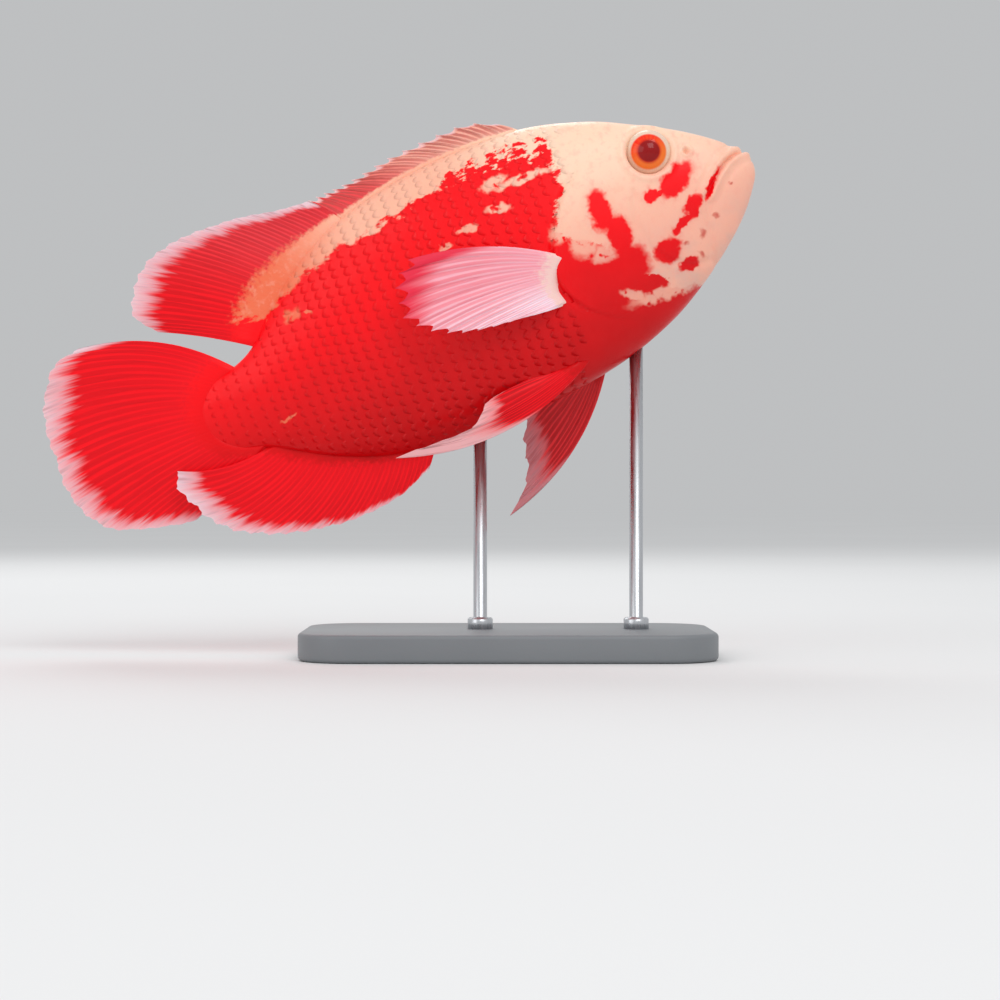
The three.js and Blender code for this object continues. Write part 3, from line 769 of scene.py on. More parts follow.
def scale_roots():
    """Places, outward and backward directions, sizes and map places of all scales."""
    roots = []
    middle_back = skin_points[..., 0].mean(1)
    columns = np.arange(FIRST_SCALE, LAST_SCALE, SCALE_PITCH)
    for i, back in enumerate(columns):
        ring = int(np.searchsorted(middle_back, back))
        points, normals = skin_points[ring], skin_normals[ring]
        behind = skin_points[min(ring + 2, len(skin_points) - 1)]
        gaps = np.linalg.norm(np.roll(points, -1, 0) - points, axis=1)
        length = np.concatenate([[0], np.cumsum(gaps)])
        for side in (1, -1):
            flank = length[AROUND // 4] if side > 0 else length[3 * AROUND // 4]
            room = length[AROUND // 4] - 2.4
            rows = int(2 * room / ROW_PITCH) + 2
            for row in range(-rows, rows):
                away = (row + 0.5 * (i % 2)) * ROW_PITCH
                if not -room < away < room:
                    continue
                j = int(np.searchsorted(length, flank + away)) % AROUND
                point = points[j]
                # The gill cover and the head before a slanting line are bare
                edge, _ = line_distance(closed_outline(GILL_OUTLINE), point[0], point[2])
                if edge < 1.2 or point[0] < 62 - 0.3 * (point[2] - 30):
                    continue
                lie = behind[j] - point
                size = mix(1.0, REAR_SCALE_SIZE, float(smooth(150, 212, point[0])))
                map_place = [mix(MAP_EDGE, 1 - MAP_EDGE, share)
                             for share in (j / AROUND, i / len(columns))]
                roots.append((point, normals[j], lie / np.linalg.norm(lie), size, (*map_place, 0)))
    return [np.array(part) for part in zip(*roots)]


root_points, root_out, root_lie, root_size, root_map = scale_roots()
# Directions turn with the fish, so they go through the same tilt as the points
root_here = to_scene(root_points)
bed_values = {
    "outward": (to_scene(root_points + root_out) - root_here) * 1000,
    "lie": (to_scene(root_points + root_lie) - root_here) * 1000,
    "scale_size": root_size,
    "map_place": root_map,
}
scale_bed = new_mesh("scales", root_here, [], values=bed_values)
print("scales:", len(root_points))

# %% [markdown]
# A real scale is a thin bony plate, sunk in its pocket in front and free behind. One plate of a
# few faces is enough, as all scales are copies of it.

# %% One scale
SCALE_LENGTH = 8.2
SCALE_WIDTH = 4.5
SCALE_THICKNESS = 0.05
FRONT_SUNK = -0.11
REAR_RAISED = 0.034


def scale_plate():
    """A thin closed plate, rounded behind, with its front end sunk and its rear edge raised."""
    rows, columns = 5, 7
    length = np.linspace(-0.45, 0.55, rows)[:, None]
    across = np.linspace(-1, 1, columns)[None, :]
    tail = np.clip((length + 0.15) / 0.7, 0, 1)
    width = SCALE_WIDTH / 2 * np.sqrt(1 - 0.4 * tail**2)
    x = SCALE_LENGTH * (length - 0.2 * across**2 * tail)
    y = width * across
    lift = mix(FRONT_SUNK, REAR_RAISED, np.clip((length + 0.45) / 0.9, 0, 1)) - 0.02 * across**2
    top = np.stack(np.broadcast_arrays(x, y, lift), -1).reshape(-1, 3)
    under = top - (0, 0, SCALE_THICKNESS)
    local = np.stack(np.broadcast_arrays(length + 0.45, (across + 1) / 2, 0 * length * across), -1)
    local = local.reshape(-1, 3)
    return np.concatenate([top, under]) / 1000, np.concatenate([local, local]), (rows, columns)


plate_points, plate_map, plate_grid = scale_plate()
plate_faces, rim_faces = sheet_faces(*plate_grid)
plate = new_mesh("scale_plate", plate_points, plate_faces, flat=rim_faces,
                 values={"plate_map": plate_map, "lift": plate_points[:, 2]})
print("one scale:", len(plate_faces), "faces")

# %% [markdown]
# The tree below turns each plate so that its Z follows the skin's outward direction and its X
# the way the scales lie, and realizes the copies. Flat plates would stand off a round flank at
# their sides, so every point then moves to the nearest place on the skin plus its own small lift.
# Last, a map is stored in which each scale is a tiny square at its own place.

# %% The scale tree
MAP_PATCH = 0.003


def new_tree(name, inputs):
    """An empty geometry tree with named inputs; gives its graph, input and output nodes."""
    tree = bpy.data.node_groups.new(name, "GeometryNodeTree")
    tree.interface.new_socket("Geometry", in_out="INPUT", socket_type="NodeSocketGeometry")
    tree.interface.new_socket("Geometry", in_out="OUTPUT", socket_type="NodeSocketGeometry")
    for label, kind in inputs:
        tree.interface.new_socket(label, in_out="INPUT", socket_type="NodeSocket" + kind)
    graph = Graph(tree)
    return graph, graph.add("NodeGroupInput").outputs, graph.add("NodeGroupOutput").inputs


def named(graph, name, kind="FLOAT_VECTOR"):
    """A named value of the points."""
    node = graph.add("GeometryNodeInputNamedAttribute", {"Name": name}, data_type=kind)
    return node.outputs[0]


def grown(piece, graph, values):
    """Runs a tree on a piece with these input values and keeps the result as a plain mesh."""
    modifier = piece.modifiers.new("growth", "NODES")
    modifier.node_group = graph.tree
    for socket in graph.tree.interface.items_tree:
        if socket.in_out == "INPUT" and socket.name in values:
            modifier[socket.identifier] = values[socket.name]
    evaluated = piece.evaluated_get(bpy.context.evaluated_depsgraph_get())
    mesh = bpy.data.meshes.new_from_object(evaluated)
    piece.modifiers.remove(modifier)
    piece.data = mesh
    return piece


coat, coat_in, coat_out = new_tree("ScaleCoat", [
    ("Skin", "Object"), ("Scale", "Object"), ("Size", "Float"), ("Patch", "Float"),
    ("Material", "Material")])
turn_to = coat.add("FunctionNodeAxesToRotation", {0: named(coat, "outward"), 1: named(coat, "lie")},
                   primary_axis="Z", secondary_axis="X")
one_scale = coat.add("GeometryNodeObjectInfo", {"Object": coat_in["Scale"]})
sized = coat.times(named(coat, "scale_size", "FLOAT"), coat_in["Size"])
tiled = coat.add("GeometryNodeInstanceOnPoints", {
    "Points": coat_in["Geometry"], "Instance": one_scale.outputs["Geometry"],
    "Rotation": turn_to.outputs[0], "Scale": sized})
real = coat.add("GeometryNodeRealizeInstances", {"Geometry": tiled.outputs[0]})
skin_here = coat.add("GeometryNodeObjectInfo", {"Object": coat_in["Skin"]})
nearest = coat.add("GeometryNodeProximity", {0: skin_here.outputs["Geometry"]},
                   target_element="FACES").outputs["Position"]
raised = coat.vector("SCALE", named(coat, "outward"), scale=named(coat, "lift", "FLOAT"))
laid = coat.add("GeometryNodeSetPosition", {
    "Geometry": real.outputs[0], "Position": coat.vector("ADD", nearest, raised)})
in_patch = coat.vector("SCALE", named(coat, "plate_map"), scale=coat_in["Patch"])
patch_place = coat.vector("ADD", named(coat, "map_place"), in_patch)
mapped = coat.add("GeometryNodeStoreNamedAttribute", {
    "Geometry": laid.outputs[0], "Name": "OFBake", "Value": patch_place},
    data_type="FLOAT2", domain="CORNER")
dressed = coat.add("GeometryNodeSetMaterial", {
    "Geometry": mapped.outputs[0], "Material": coat_in["Material"]})
coat.feed(coat_out[0], dressed.outputs[0])

grown(scale_bed, coat, {
    "Skin": body, "Scale": plate, "Size": 1.0, "Patch": MAP_PATCH, "Material": scale_finish})
bpy.data.objects.remove(plate)
print("scale map:", [layer.name for layer in scale_bed.data.uv_layers])
finished(scale_bed, slot="body_skin")

# %% [markdown]
# ## Fins
# A fin is a fan: rays run from its base to its margin and a thin membrane joins them. Each fin
# is named by the outline of its base, of its margin and how its rays bow. The membrane is a
# closed thin sheet, frayed a little at the margin, thick and fleshy where it leaves the body.

# %% The outlines of the fins
SPINY_DORSAL = {
    "rays": 15, "bulge": (0.04, 0.04), "notch": 0.14, "fray": 0.02, "lag": 0.14,
    "base": [(75, 51.6), (98, 53.2), (123.7, 52), (146, 48)],
    "margin": [(81, 56.8), (86.5, 59.6), (93, 61.4), (105, 61.8), (122, 61), (139, 58.8),
               (154.6, 58.6)],
}
SOFT_DORSAL = {
    "rays": 19, "bulge": (0.04, 0.02), "notch": 0.02, "fray": 0.02, "lean": 3,
    "base": [(146.5, 47.7), (165.8, 39.6), (182.3, 28.6), (194.5, 18.2)],
    "margin": [(155.2, 58.6), (166, 60), (182, 63.8), (199, 65.5), (213.5, 64.7), (223.4, 60),
               (229.8, 52.4), (231.3, 45.6), (225.5, 37.6)],
}
ANAL = {
    "rays": 18, "bulge": (-0.03, -0.09), "notch": 0.03, "fray": 0.03, "lean": -6.5,
    "base": [(148.5, -42.6), (165.8, -38.8), (182.3, -31.8), (195, -24.2), (204, -18.4)],
    "margin": [(153.7, -49.4), (160.3, -52), (167.6, -54.5), (178.6, -55.7), (193.2, -55),
               (207.9, -51.6), (220.7, -46.8), (229.8, -40.6), (235.7, -33.7), (239.7, -24.9),
               (241.2, -17.6), (238.6, -13.2)],
}
CAUDAL = {
    "rays": 17, "bulge": (0.1, -0.02), "notch": 0.015, "fray": 0.025,
    "base": [(205, 14.2), (213.5, 12), (220.5, 6), (222, -1.5), (220.5, -9), (214, -15),
             (205.4, -17.9)],
    "margin": [(255.5, 43.6), (263.5, 42.4), (270.1, 38), (275.2, 30.7), (278.2, 22), (279.6, 11),
               (280.3, 0), (279.3, -8), (276.3, -16.5), (271.6, -22), (264.6, -25.6),
               (255.5, -28.9), (246.3, -31.5), (240, -32.2)],
}
PECTORAL = {
    "rays": 13, "bulge": (0.07, -0.02), "notch": 0.07, "fray": 0.025, "flare": 8.5, "cup": 2.6,
    "base": [(80.2, 1.6), (85.4, -3.4), (87.8, -9), (87, -15)],
    "margin": [(131, 21.2), (137.6, 16.4), (140, 10.2), (140.9, 2.9), (138.4, -0.8), (134, -5.2),
               (127.4, -9.2), (119.3, -11.7), (110.9, -13.2), (101, -14.2)],
}
PELVIC_SWEPT = {
    "rays": 6, "bulge": (-0.11, 0.04), "notch": 0.05, "fray": 0.03, "side": -11, "flare": -8.5,
    "cup": -1.2,
    "base": [(88.2, -38.6), (90.5, -37.4), (95, -35.9)],
    "margin": [(164, -41.4), (141, -43), (133.6, -42.2), (129.5, -38.6), (123.5, -35.4),
               (116, -34.8)],
}
PELVIC_SPREAD = {
    "rays": 6, "bulge": (-0.1, 0.05), "notch": 0.05, "fray": 0.04, "side": 9.5, "flare": 10,
    "cup": 1.2,
    "base": [(78.5, -40.2), (85, -40.8), (92, -40.4)],
    "margin": [(134.7, -78), (125.5, -70.6), (121.9, -64), (119.7, -57.8), (117.5, -52),
               (113.5, -46.6)],
}
# How far a root runs on in the body, and half the membrane's thickness
ROOT_DEPTH = 4.0
PECTORAL_SUNK = 3.4
MEMBRANE_ROOT = 0.34
MEMBRANE_TIP = 0.07
RIPPLE = 0.35


def median_side(fin):
    """A fin of the middle line leans towards the tips of its rear rays, and ripples a little."""
    def side(across, along, point):
        along = np.maximum(along, 0)
        ripple = RIPPLE * np.sin(across * 17 + 2.5 * along) * along
        return fin.get("lean", 0) * across * along + ripple
    return side


def pectoral_side(side):
    """A pectoral stands off the flank, cupped, on its side of the body."""
    def stand_off(across, along, point):
        sunk = -PECTORAL_SUNK * np.minimum(along, 0) ** 2
        along = np.maximum(along, 0)
        flank = half_width(mix(86, point[..., 0], 0.6), mix(point[..., 1], 0, 0.6)) + sunk
        cup = PECTORAL["cup"] * np.sin(math.pi * across) * along
        ripple = 0.3 * np.sin(across * 13 + 2 * along) * along
        return side * (flank - 0.2 + PECTORAL["flare"] * along + cup + ripple)
    return stand_off


def pelvic_side(fin):
    """A pelvic fin hangs beside the middle plane and flares outward."""
    def side(across, along, point):
        along = np.maximum(along, 0)
        flare = fin["flare"] * along * (1 - 0.5 * across)
        return fin["side"] + flare + fin["cup"] * np.sin(math.pi * across)
    return side


print("rays of the caudal fin:", CAUDAL["rays"])

# %% [markdown]
# Every point of a fin has two shares: across the fan and along the ray. The base, the margin and
# the bow of the rays turn these into a place, and below the base the rays run on into the body.

# %% The surface of a fin
def fray(fin, across):
    """How far the margin falls short of its outline: notched between rays, and uneven."""
    ray = across * (fin["rays"] - 1)
    between = np.abs(np.sin(math.pi * ray))
    uneven = 0.5 + 0.5 * np.sin(ray * 2.399 + 1.3) * np.sin(ray * 0.731)
    split = 0.5 + 0.5 * np.cos(4 * math.pi * ray + 1.1 * np.sin(3 * ray))
    return fin["notch"] * between**0.7 + fin["fray"] * (0.6 * uneven + 0.4 * split)


def fin_surface(fin, side_at, across, along):
    """The middle surface of a fin at all pairs of shares; along below 0 is in the body."""
    across, along = np.meshgrid(across, along, indexing="ij")
    lag = fin.get("lag", 0) * np.sin(math.pi * across)
    root, full = walk(fin["base"], across), walk(fin["margin"], across + lag)
    tip = full + (root - full) * fray(fin, across)[..., None]
    run = tip - root
    bow = mix(*fin["bulge"], across)[..., None] * 2
    control = root + run / 2 + np.stack([-run[..., 1], run[..., 0]], -1) * bow
    t = np.maximum(along, 0)[..., None]
    point = root * (1 - t) ** 2 + control * 2 * t * (1 - t) + tip * t**2
    start = control - root
    start = start / np.linalg.norm(start, axis=-1, keepdims=True)
    point = point + start * (np.minimum(along, 0) * ROOT_DEPTH)[..., None]
    side = side_at(across, along, point)
    return np.stack([point[..., 0], side, point[..., 1]], -1), across, along


def surface_normals(points):
    """The directions across a surface of points in rows."""
    normal = np.cross(np.gradient(points, axis=0), np.gradient(points, axis=1))
    return normal / np.maximum(np.linalg.norm(normal, axis=-1, keepdims=True), 1e-9)


def membrane(fin, side_at, flesh, columns_a_ray=10, rows=40):
    """Points, faces and named values of a closed thin sheet; flesh is its extra half thickness."""
    across = np.linspace(0, 1, (fin["rays"] - 1) * columns_a_ray + 1)
    along = np.concatenate([[-1, -0.75, -0.5, -0.25], np.linspace(0, 1, rows - 3) ** 0.9])
    middle, a, s = fin_surface(fin, side_at, across, along)
    inside = np.maximum(s, 0)
    edge = smooth(0, 0.03, a) * smooth(1, 0.97, a)
    root_flesh = flesh * bump(s, 0.16 + 0.5 * (s < 0)) * mix(0.4, 1, edge)
    thick = mix(MEMBRANE_ROOT, MEMBRANE_TIP, inside) + root_flesh
    out = surface_normals(middle) * thick[..., None]
    faces, rim_faces = sheet_faces(*a.shape)
    points = np.concatenate([(middle + out).reshape(-1, 3), (middle - out).reshape(-1, 3)])
    values = {"across": np.tile(a.ravel(), 2), "along": np.tile(inside.ravel(), 2)}
    return points, faces, values, rim_faces


tail_ray_end = fin_surface(CAUDAL, median_side(CAUDAL), [0.5], [1])[0][0, 0]
print("the middle ray of the caudal fin ends at", tail_ray_end.round(1), "mm")

# %% [markdown]
# ## Rays
# Soft rays fork as they run out, once near the middle and again near the margin, which gives
# a fin its fine comb of lines. Each ray is a wire on the fin's middle surface with a radius at
# every point, and one tree sweeps a small round section along all the wires at once.

# %% The wires of the rays
# How thin a fork and a twig are, beside their ray, and how far they leave it, in gaps of rays
FORK_RADIUS = 0.8
TWIG_RADIUS = 0.62
FORK_SPREAD = 0.25
TWIG_SPREAD = 0.12
# A ray starts this share of the root's depth inside the body
WIRE_START = -0.3
WIRE_POINTS = 14


def ray_wires(fin, side_at, forks, thick, reach):
    """Wires of all rays: points, edges, radius, across and along."""
    points, edges, radius, across_of, along_of = [], [], [], [], []

    def wire(track, from_share, to_share, scale):
        shares = np.linspace(from_share, to_share, WIRE_POINTS)
        a = np.clip(track(shares), 0, 1)
        middle = np.array([fin_surface(fin, side_at, [x], [t])[0][0, 0] for x, t in zip(a, shares)])
        start = len(points)
        points.extend(middle)
        edges.extend((start + i, start + i + 1) for i in range(len(shares) - 1))
        radius.extend(scale * mix(thick[0], thick[1], np.maximum(shares, 0) ** 0.6))
        across_of.extend(a)
        along_of.extend(np.maximum(shares, 0))

    gap = 1 / (fin["rays"] - 1)
    for ray in range(fin["rays"]):
        at = ray * gap
        if not forks:
            wire(lambda s: 0 * s + at, WIRE_START, reach, 1)
            continue
        wire(lambda s: 0 * s + at, WIRE_START, forks[0], 1)
        for side in (-1, 1):
            aside = side * gap * FORK_SPREAD
            first = lambda s: at + aside * smooth(forks[0], forks[0] + 0.3, s)
            wire(first, forks[0], forks[1], FORK_RADIUS)
            for twig in (-1, 1):
                apart = twig * gap * TWIG_SPREAD
                second = lambda s: first(s) + apart * smooth(forks[1], 1, s)
                wire(second, forks[1], reach, TWIG_RADIUS)
    return np.array(points), edges, np.array(radius), np.array(across_of), np.array(along_of)


pelvic_edges = ray_wires(PELVIC_SWEPT, pelvic_side(PELVIC_SWEPT), (0.4, 0.72), (0.6, 0.15), 1)[1]
print("wires of the swept pelvic fin:", len(pelvic_edges) // (WIRE_POINTS - 1))

# %% The ray tree
rays, rays_in, rays_out = new_tree(
    "FinRays", [("Sides", "Int"), ("Thickness", "Float"), ("Material", "Material")])
wires = rays.add("GeometryNodeMeshToCurve", {"Mesh": rays_in["Geometry"]})
ray_radius = rays.times(named(rays, "ray_radius", "FLOAT"), rays_in["Thickness"])
ring = rays.add("GeometryNodeCurvePrimitiveCircle", {
    "Resolution": rays_in["Sides"], "Radius": 1.0})
swept = rays.add("GeometryNodeCurveToMesh", {
    "Curve": wires.outputs[0], "Profile Curve": ring.outputs[0], "Scale": ray_radius,
    "Fill Caps": True})
eased = rays.add("GeometryNodeSetShadeSmooth", {"Geometry": swept.outputs[0]})
solid = rays.add("GeometryNodeRealizeInstances", {"Geometry": eased.outputs[0]})
finish_rays = rays.add("GeometryNodeSetMaterial", {
    "Geometry": solid.outputs[0], "Material": rays_in["Material"]})
rays.feed(rays_out[0], finish_rays.outputs[0])
print("ray tree:", len(rays.tree.nodes), "nodes")

# %% [markdown]
# ## The colour of fins
# Membrane and rays read the same two values, across the fan and along the ray, so the pattern
# runs with the rays on both. Each fin has a body colour, fine dark streaks between the rays and
# a pale frayed fringe. The group is built once and every fin gives it its own colours.

# %% The group for fin colours
fan, fan_in, fan_out = new_group("FinColours", [
    ("Across", "Float", 0.0), ("Along", "Float", 0.0), ("Rays", "Float", 16.0),
    ("Body", "Color", None), ("Rear Body", "Color", None), ("Streak", "Color", None),
    ("Fringe", "Color", None),
    ("Fringe Start", "Float", 0.84), ("Fringe Slope", "Float", 0.0), ("Streaks", "Float", 0.6)],
    [("Colour", "Color", None), ("Height", "Float", None), ("Fringe", "Float", None)])
fine_lines = fan.times(fan_in["Across"], fan_in["Rays"])
stretched = fan.add("ShaderNodeCombineXYZ", {0: fan.times(fine_lines, 2.2),
                                             1: fan.times(fan_in["Along"], 1.2)})
wisps = fan.noise(stretched.outputs[0], 1.4, 3.0, 0.6)
wander = fan.noise(stretched.outputs[0], 0.16, 2.0)
comb = fan.math("ABSOLUTE", fan.math("SINE", fan.times(fine_lines, math.pi * 2)))
lines = fan.plus(fan.times(wisps, 0.7), fan.times(comb, 0.3))
strength = fan.times(fan.step(fan_in["Along"], 0, 0.7, 0.5, 1), fan_in["Streaks"])
streaks = fan.times(fan.step(lines, 0.4, 0.6), strength)
body_at = fan.blend(fan.step(fan_in["Across"], 0.3, 0.85), fan_in["Body"],
                    fan_in["Rear Body"])
coloured = fan.blend(streaks, body_at, fan_in["Streak"])
edge_at = fan.plus(fan_in["Fringe Start"],
                   fan.times(fan_in["Across"], fan_in["Fringe Slope"]))
lost = fan.plus(fan.times(fan.minus(wisps, 0.5), 0.32),
                fan.times(fan.minus(wander, 0.5), 0.24))
first_ray = fan.step(fan_in["Across"], 0.07, 0.0, 0.0, 0.15)
beyond = fan.minus(fan.plus(fan_in["Along"], lost), edge_at)
beyond = fan.plus(beyond, first_ray)
between = fan.blend(0.5, fan_in["Fringe"], fan_in["Body"])
coloured = fan.blend(fan.step(beyond, -0.1, 0.04), coloured, between)
fringe = fan.step(beyond, -0.05, 0.18)
edged = fan.blend(fringe, coloured, fan_in["Fringe"])
thin = fan.times(fan.times(fan.step(wisps, 0.5, 0.68), fringe), 0.4)
fan.feed(fan_out["Colour"], fan.blend(thin, edged, fan_in["Streak"]))
fan.feed(fan_out["Height"], fan.plus(fan.times(comb, 0.5), wisps))
fan.feed(fan_out["Fringe"], fringe)


def fin_material(name, rays, body, rear, streak, fringe, start, slope, streaks, marked,
                 root_tone=None):
    """A fin's finish; marked is how far up its base the body's markings and painted shade, or
    root_tone, reach.
    """
    material, graph, where = new_material(
        name, Subsurface_Weight=0.1, Subsurface_Scale=0.002, Coat_Weight=0.06, Coat_Roughness=0.2,
        Specular_IOR_Level=0.16)
    level = level_at(graph, where)
    across = graph.add("ShaderNodeAttribute", attribute_name="across").outputs["Fac"]
    along = graph.add("ShaderNodeAttribute", attribute_name="along").outputs["Fac"]
    pattern = place_group(graph, "FinColours", {
        "Across": across, "Along": along, "Rays": rays, "Body": body, "Rear Body": rear,
        "Streak": streak, "Fringe": fringe, "Fringe Start": start, "Fringe Slope": slope,
        "Streaks": streaks}).outputs
    markings_and_shade = place_group(graph, "FishMarkingsAndShade", {"Level": level}).outputs["Colour"]
    crumbs = graph.times(graph.minus(graph.noise(level, 0.6, 3.0), 0.5), 0.22)
    root = graph.step(graph.plus(along, crumbs), marked + 0.08, marked - 0.04)
    return dress(material, graph, {
        "Base Color": graph.blend(root, pattern["Colour"], root_tone or markings_and_shade),
        "Roughness": graph.step(pattern["Fringe"], 0, 1, 0.42, 0.55),
    }, (pattern["Height"], 0.35, BUMP_DEPTH))


FIN_RED = colour(250, 6, 24)
STREAK_RED = colour(158, 0, 10)
WHITE_PINK = colour(240, 206, 214)
PALE_PINK = colour(252, 176, 188)
PEACH = colour(246, 176, 158)
DORSAL_RED = colour(240, 62, 70)
SPINE_RED = colour(240, 74, 78)
BROWN_PINK = colour(178, 76, 72)
# The next two colours are a duller, darker copy of the near pelvic fin's red and pink fringe:
# painted shade on the pelvic fin of the far side
SHADED_FIN_RED = colour(238, 52, 58)
SHADED_FRINGE_PINK = colour(212, 140, 146)
SOFT_PINK = colour(248, 182, 184)
MILK_PINK = colour(254, 226, 236)
ROOT_CREAM = colour(250, 206, 198)
ROSE = colour(236, 48, 74)
# Rays, body, rear body, streak, fringe, where the fringe starts, its slope, streaks, marked root
FIN_LOOKS = {
    "spiny_dorsal": (15, PEACH, SPINE_RED, BROWN_PINK, WHITE_PINK, 0.93, 0, 0.7, 0.1),
    "soft_dorsal": (19, DORSAL_RED, FIN_RED, STREAK_RED, WHITE_PINK, 0.8, 0.12, 0.42, 0.2),
    "anal": (18, FIN_RED, FIN_RED, STREAK_RED, WHITE_PINK, 1.0, -0.16, 0.32, 0.06),
    "caudal": (17, FIN_RED, FIN_RED, STREAK_RED, WHITE_PINK, 0.9, 0.03, 0.32, 0.08),
    "pectoral": (13, PALE_PINK, MILK_PINK, ROSE, ROSE, 0.62, 0.9, 0.42, 0.05, ROOT_CREAM),
    "pelvic_swept": (6, FIN_RED, FIN_RED, STREAK_RED, SOFT_PINK, 0.46, 0.6, 0.6, 0.04),
    # The far pelvic fin takes the darker copies of the near one's colours: painted shade
    "pelvic_spread": (6, SHADED_FIN_RED, SHADED_FIN_RED, STREAK_RED, SHADED_FRINGE_PINK, 0.72, 0.1, 0.66, 0.04),
}
fin_finish = {name: fin_material(name, *look) for name, look in FIN_LOOKS.items()}
print("fin finishes:", ", ".join(fin_finish))

# %% [markdown]
# ## Each fin, membrane and rays in one piece
# The membrane and its rays are joined, so a fin is one object for one node of the solids.
# Spines are single and stiff; the soft rays of the other fins fork.

# %% The fins
def joined(name, *pieces):
    """One object of several, with their materials and named values."""
    bpy.ops.object.select_all(action="DESELECT")
    for piece in pieces:
        piece.select_set(True)
    bpy.context.view_layer.objects.active = pieces[0]
    bpy.ops.object.join()
    pieces[0].name = pieces[0].data.name = name
    return pieces[0]


def new_fin(name, node, fin, side_at, look, slot, flesh=0.5, forks=(0.4, 0.72),
            thick=(0.5, 0.16), reach=0.995):
    """A fin's membrane with its rays: where they fork, their radius and how far they reach."""
    finish = fin_finish[look]
    points, faces, values, rim_faces = membrane(fin, side_at, flesh)
    sheet = new_mesh(name + "_membrane", to_scene(points), faces, finish, values, flat=rim_faces)
    wire_points, edges, radius, across, along = ray_wires(fin, side_at, forks, thick, reach)
    wires = new_mesh(name + "_rays", to_scene(wire_points), [], values={
        "ray_radius": radius / 1000, "across": across, "along": along})
    wires.data.edges.add(len(edges))
    wires.data.edges.foreach_set("vertices", np.ravel(edges))
    grown(wires, rays, {"Sides": 6, "Thickness": 1.0, "Material": finish})
    return finished(joined(name, sheet, wires), node, slot=slot)


new_fin("spiny_dorsal", "dorsal_fin_spines", SPINY_DORSAL, median_side(SPINY_DORSAL),
        "spiny_dorsal", "pale_fin", forks=None, thick=(0.75, 0.22), reach=1.0)
new_fin("soft_dorsal", "dorsal_fin_soft", SOFT_DORSAL, median_side(SOFT_DORSAL),
        "soft_dorsal", "red_fin", flesh=1.3)
new_fin("anal", "anal_fin", ANAL, median_side(ANAL), "anal", "red_fin", flesh=1.1)
new_fin("caudal", "caudal_fin", CAUDAL, median_side(CAUDAL), "caudal", "red_fin",
        flesh=1.5, thick=(0.6, 0.16))
for name, side in (("right", -1), ("left", 1)):
    new_fin(f"pectoral_{name}", f"pectoral_fin_{name}", PECTORAL, pectoral_side(side),
            "pectoral", "pale_fin", flesh=0.8, thick=(0.55, 0.13))
new_fin("pelvic_right", "pelvic_fin_right", PELVIC_SWEPT, pelvic_side(PELVIC_SWEPT),
        "pelvic_swept", "pale_fin", flesh=0.8, thick=(0.6, 0.15))
new_fin("pelvic_left", "pelvic_fin_left", PELVIC_SPREAD, pelvic_side(PELVIC_SPREAD),
        "pelvic_spread", "red_fin", flesh=0.8, thick=(0.6, 0.15))

# %% [markdown]
# ## Eyes
# An eye is a ball with a coloured iris and a round lens that bulges through the pupil. A clear
# glass shell would keep the lamps from lighting what lies under it, so the ball itself carries
# a clear coat, and only the lens stands proud, as it does in a living fish.

# %% The eye materials
IRIS_RADIUS = 6.5
PUPIL_RADIUS = 3.8


def eye_material():
    """Rings of colour about the eye's axis: dark pupil, orange iris, pale rim."""
    material, graph, where = new_material(
        "oscar_iris", Roughness=0.3, Coat_Weight=0.4, Coat_Roughness=0.03, Specular_IOR_Level=0.1)
    level = level_at(graph, where)
    offset = graph.vector("SUBTRACT", level, (EYE["back"], 0, EYE["up"]))
    plane = graph.vector("MULTIPLY", offset, (1, 0, 1))
    away = graph.vector("LENGTH", plane)
    height = graph.add("ShaderNodeSeparateXYZ", {0: plane}).outputs[2]
    fibres = graph.noise(graph.vector("NORMALIZE", plane), 7.0, 4.0, 0.7)
    speckle = graph.noise(level, 1.6, 3.0)
    iris = graph.blend(graph.step(height, -4, 6), colour(244, 122, 40), colour(246, 18, 2))
    threads = graph.times(graph.step(fibres, 0.35, 0.7), 0.4)
    iris = graph.blend(threads, iris, colour(255, 108, 26))
    inner = graph.step(away, PUPIL_RADIUS + 1.2, PUPIL_RADIUS - 0.2)
    iris = graph.blend(inner, iris, colour(196, 20, 4))
    rim = graph.blend(speckle, colour(222, 184, 160), colour(246, 222, 200))
    ring = graph.blend(graph.step(away, IRIS_RADIUS - 0.5, IRIS_RADIUS + 0.3), iris, rim)
    pupil = graph.step(away, PUPIL_RADIUS + 0.3, PUPIL_RADIUS - 0.3)
    tone = graph.blend(pupil, ring, colour(148, 0, 2))
    return dress(material, graph, {"Base Color": tone}, (fibres, 0.3, BUMP_DEPTH))


iris_finish = eye_material()
print("eye material:", len(iris_finish.node_tree.nodes), "nodes")

# %% The eyes
EYE_SIDES = 72
LENS_HEIGHT = 0.5


def dome(radius):
    """How far the ball bulges outward at a distance from its axis."""
    return EYE["depth"] * np.sqrt(1 - np.minimum(radius / EYE["radius"], 1) ** 2)


iris_radii = np.concatenate([np.linspace(0, PUPIL_RADIUS, 8),
                             np.linspace(PUPIL_RADIUS + 0.15, EYE["radius"] - 0.05, 16)])
groove = 0.22 * bump(iris_radii - IRIS_RADIUS - 0.3, 0.5)
lens = LENS_HEIGHT * np.maximum(1 - (iris_radii / PUPIL_RADIUS) ** 2, 0)
ball_profile = list(zip(iris_radii, dome(iris_radii) - groove + lens))
ball_profile += [(EYE["radius"], 0), (8, -3), (5, -5), (0, -6)]
for name, side in (("right", -1), ("left", 1)):
    points, faces = turned_solid(ball_profile, EYE_SIDES, lambda x, y, out: (
        EYE["back"] + x, side * (EYE["side"] + out), EYE["up"] + y))
    ball = new_mesh(f"eye_{name}_ball", to_scene(points), faces, iris_finish)
    finished(ball, f"eye_{name}", slot="eye")

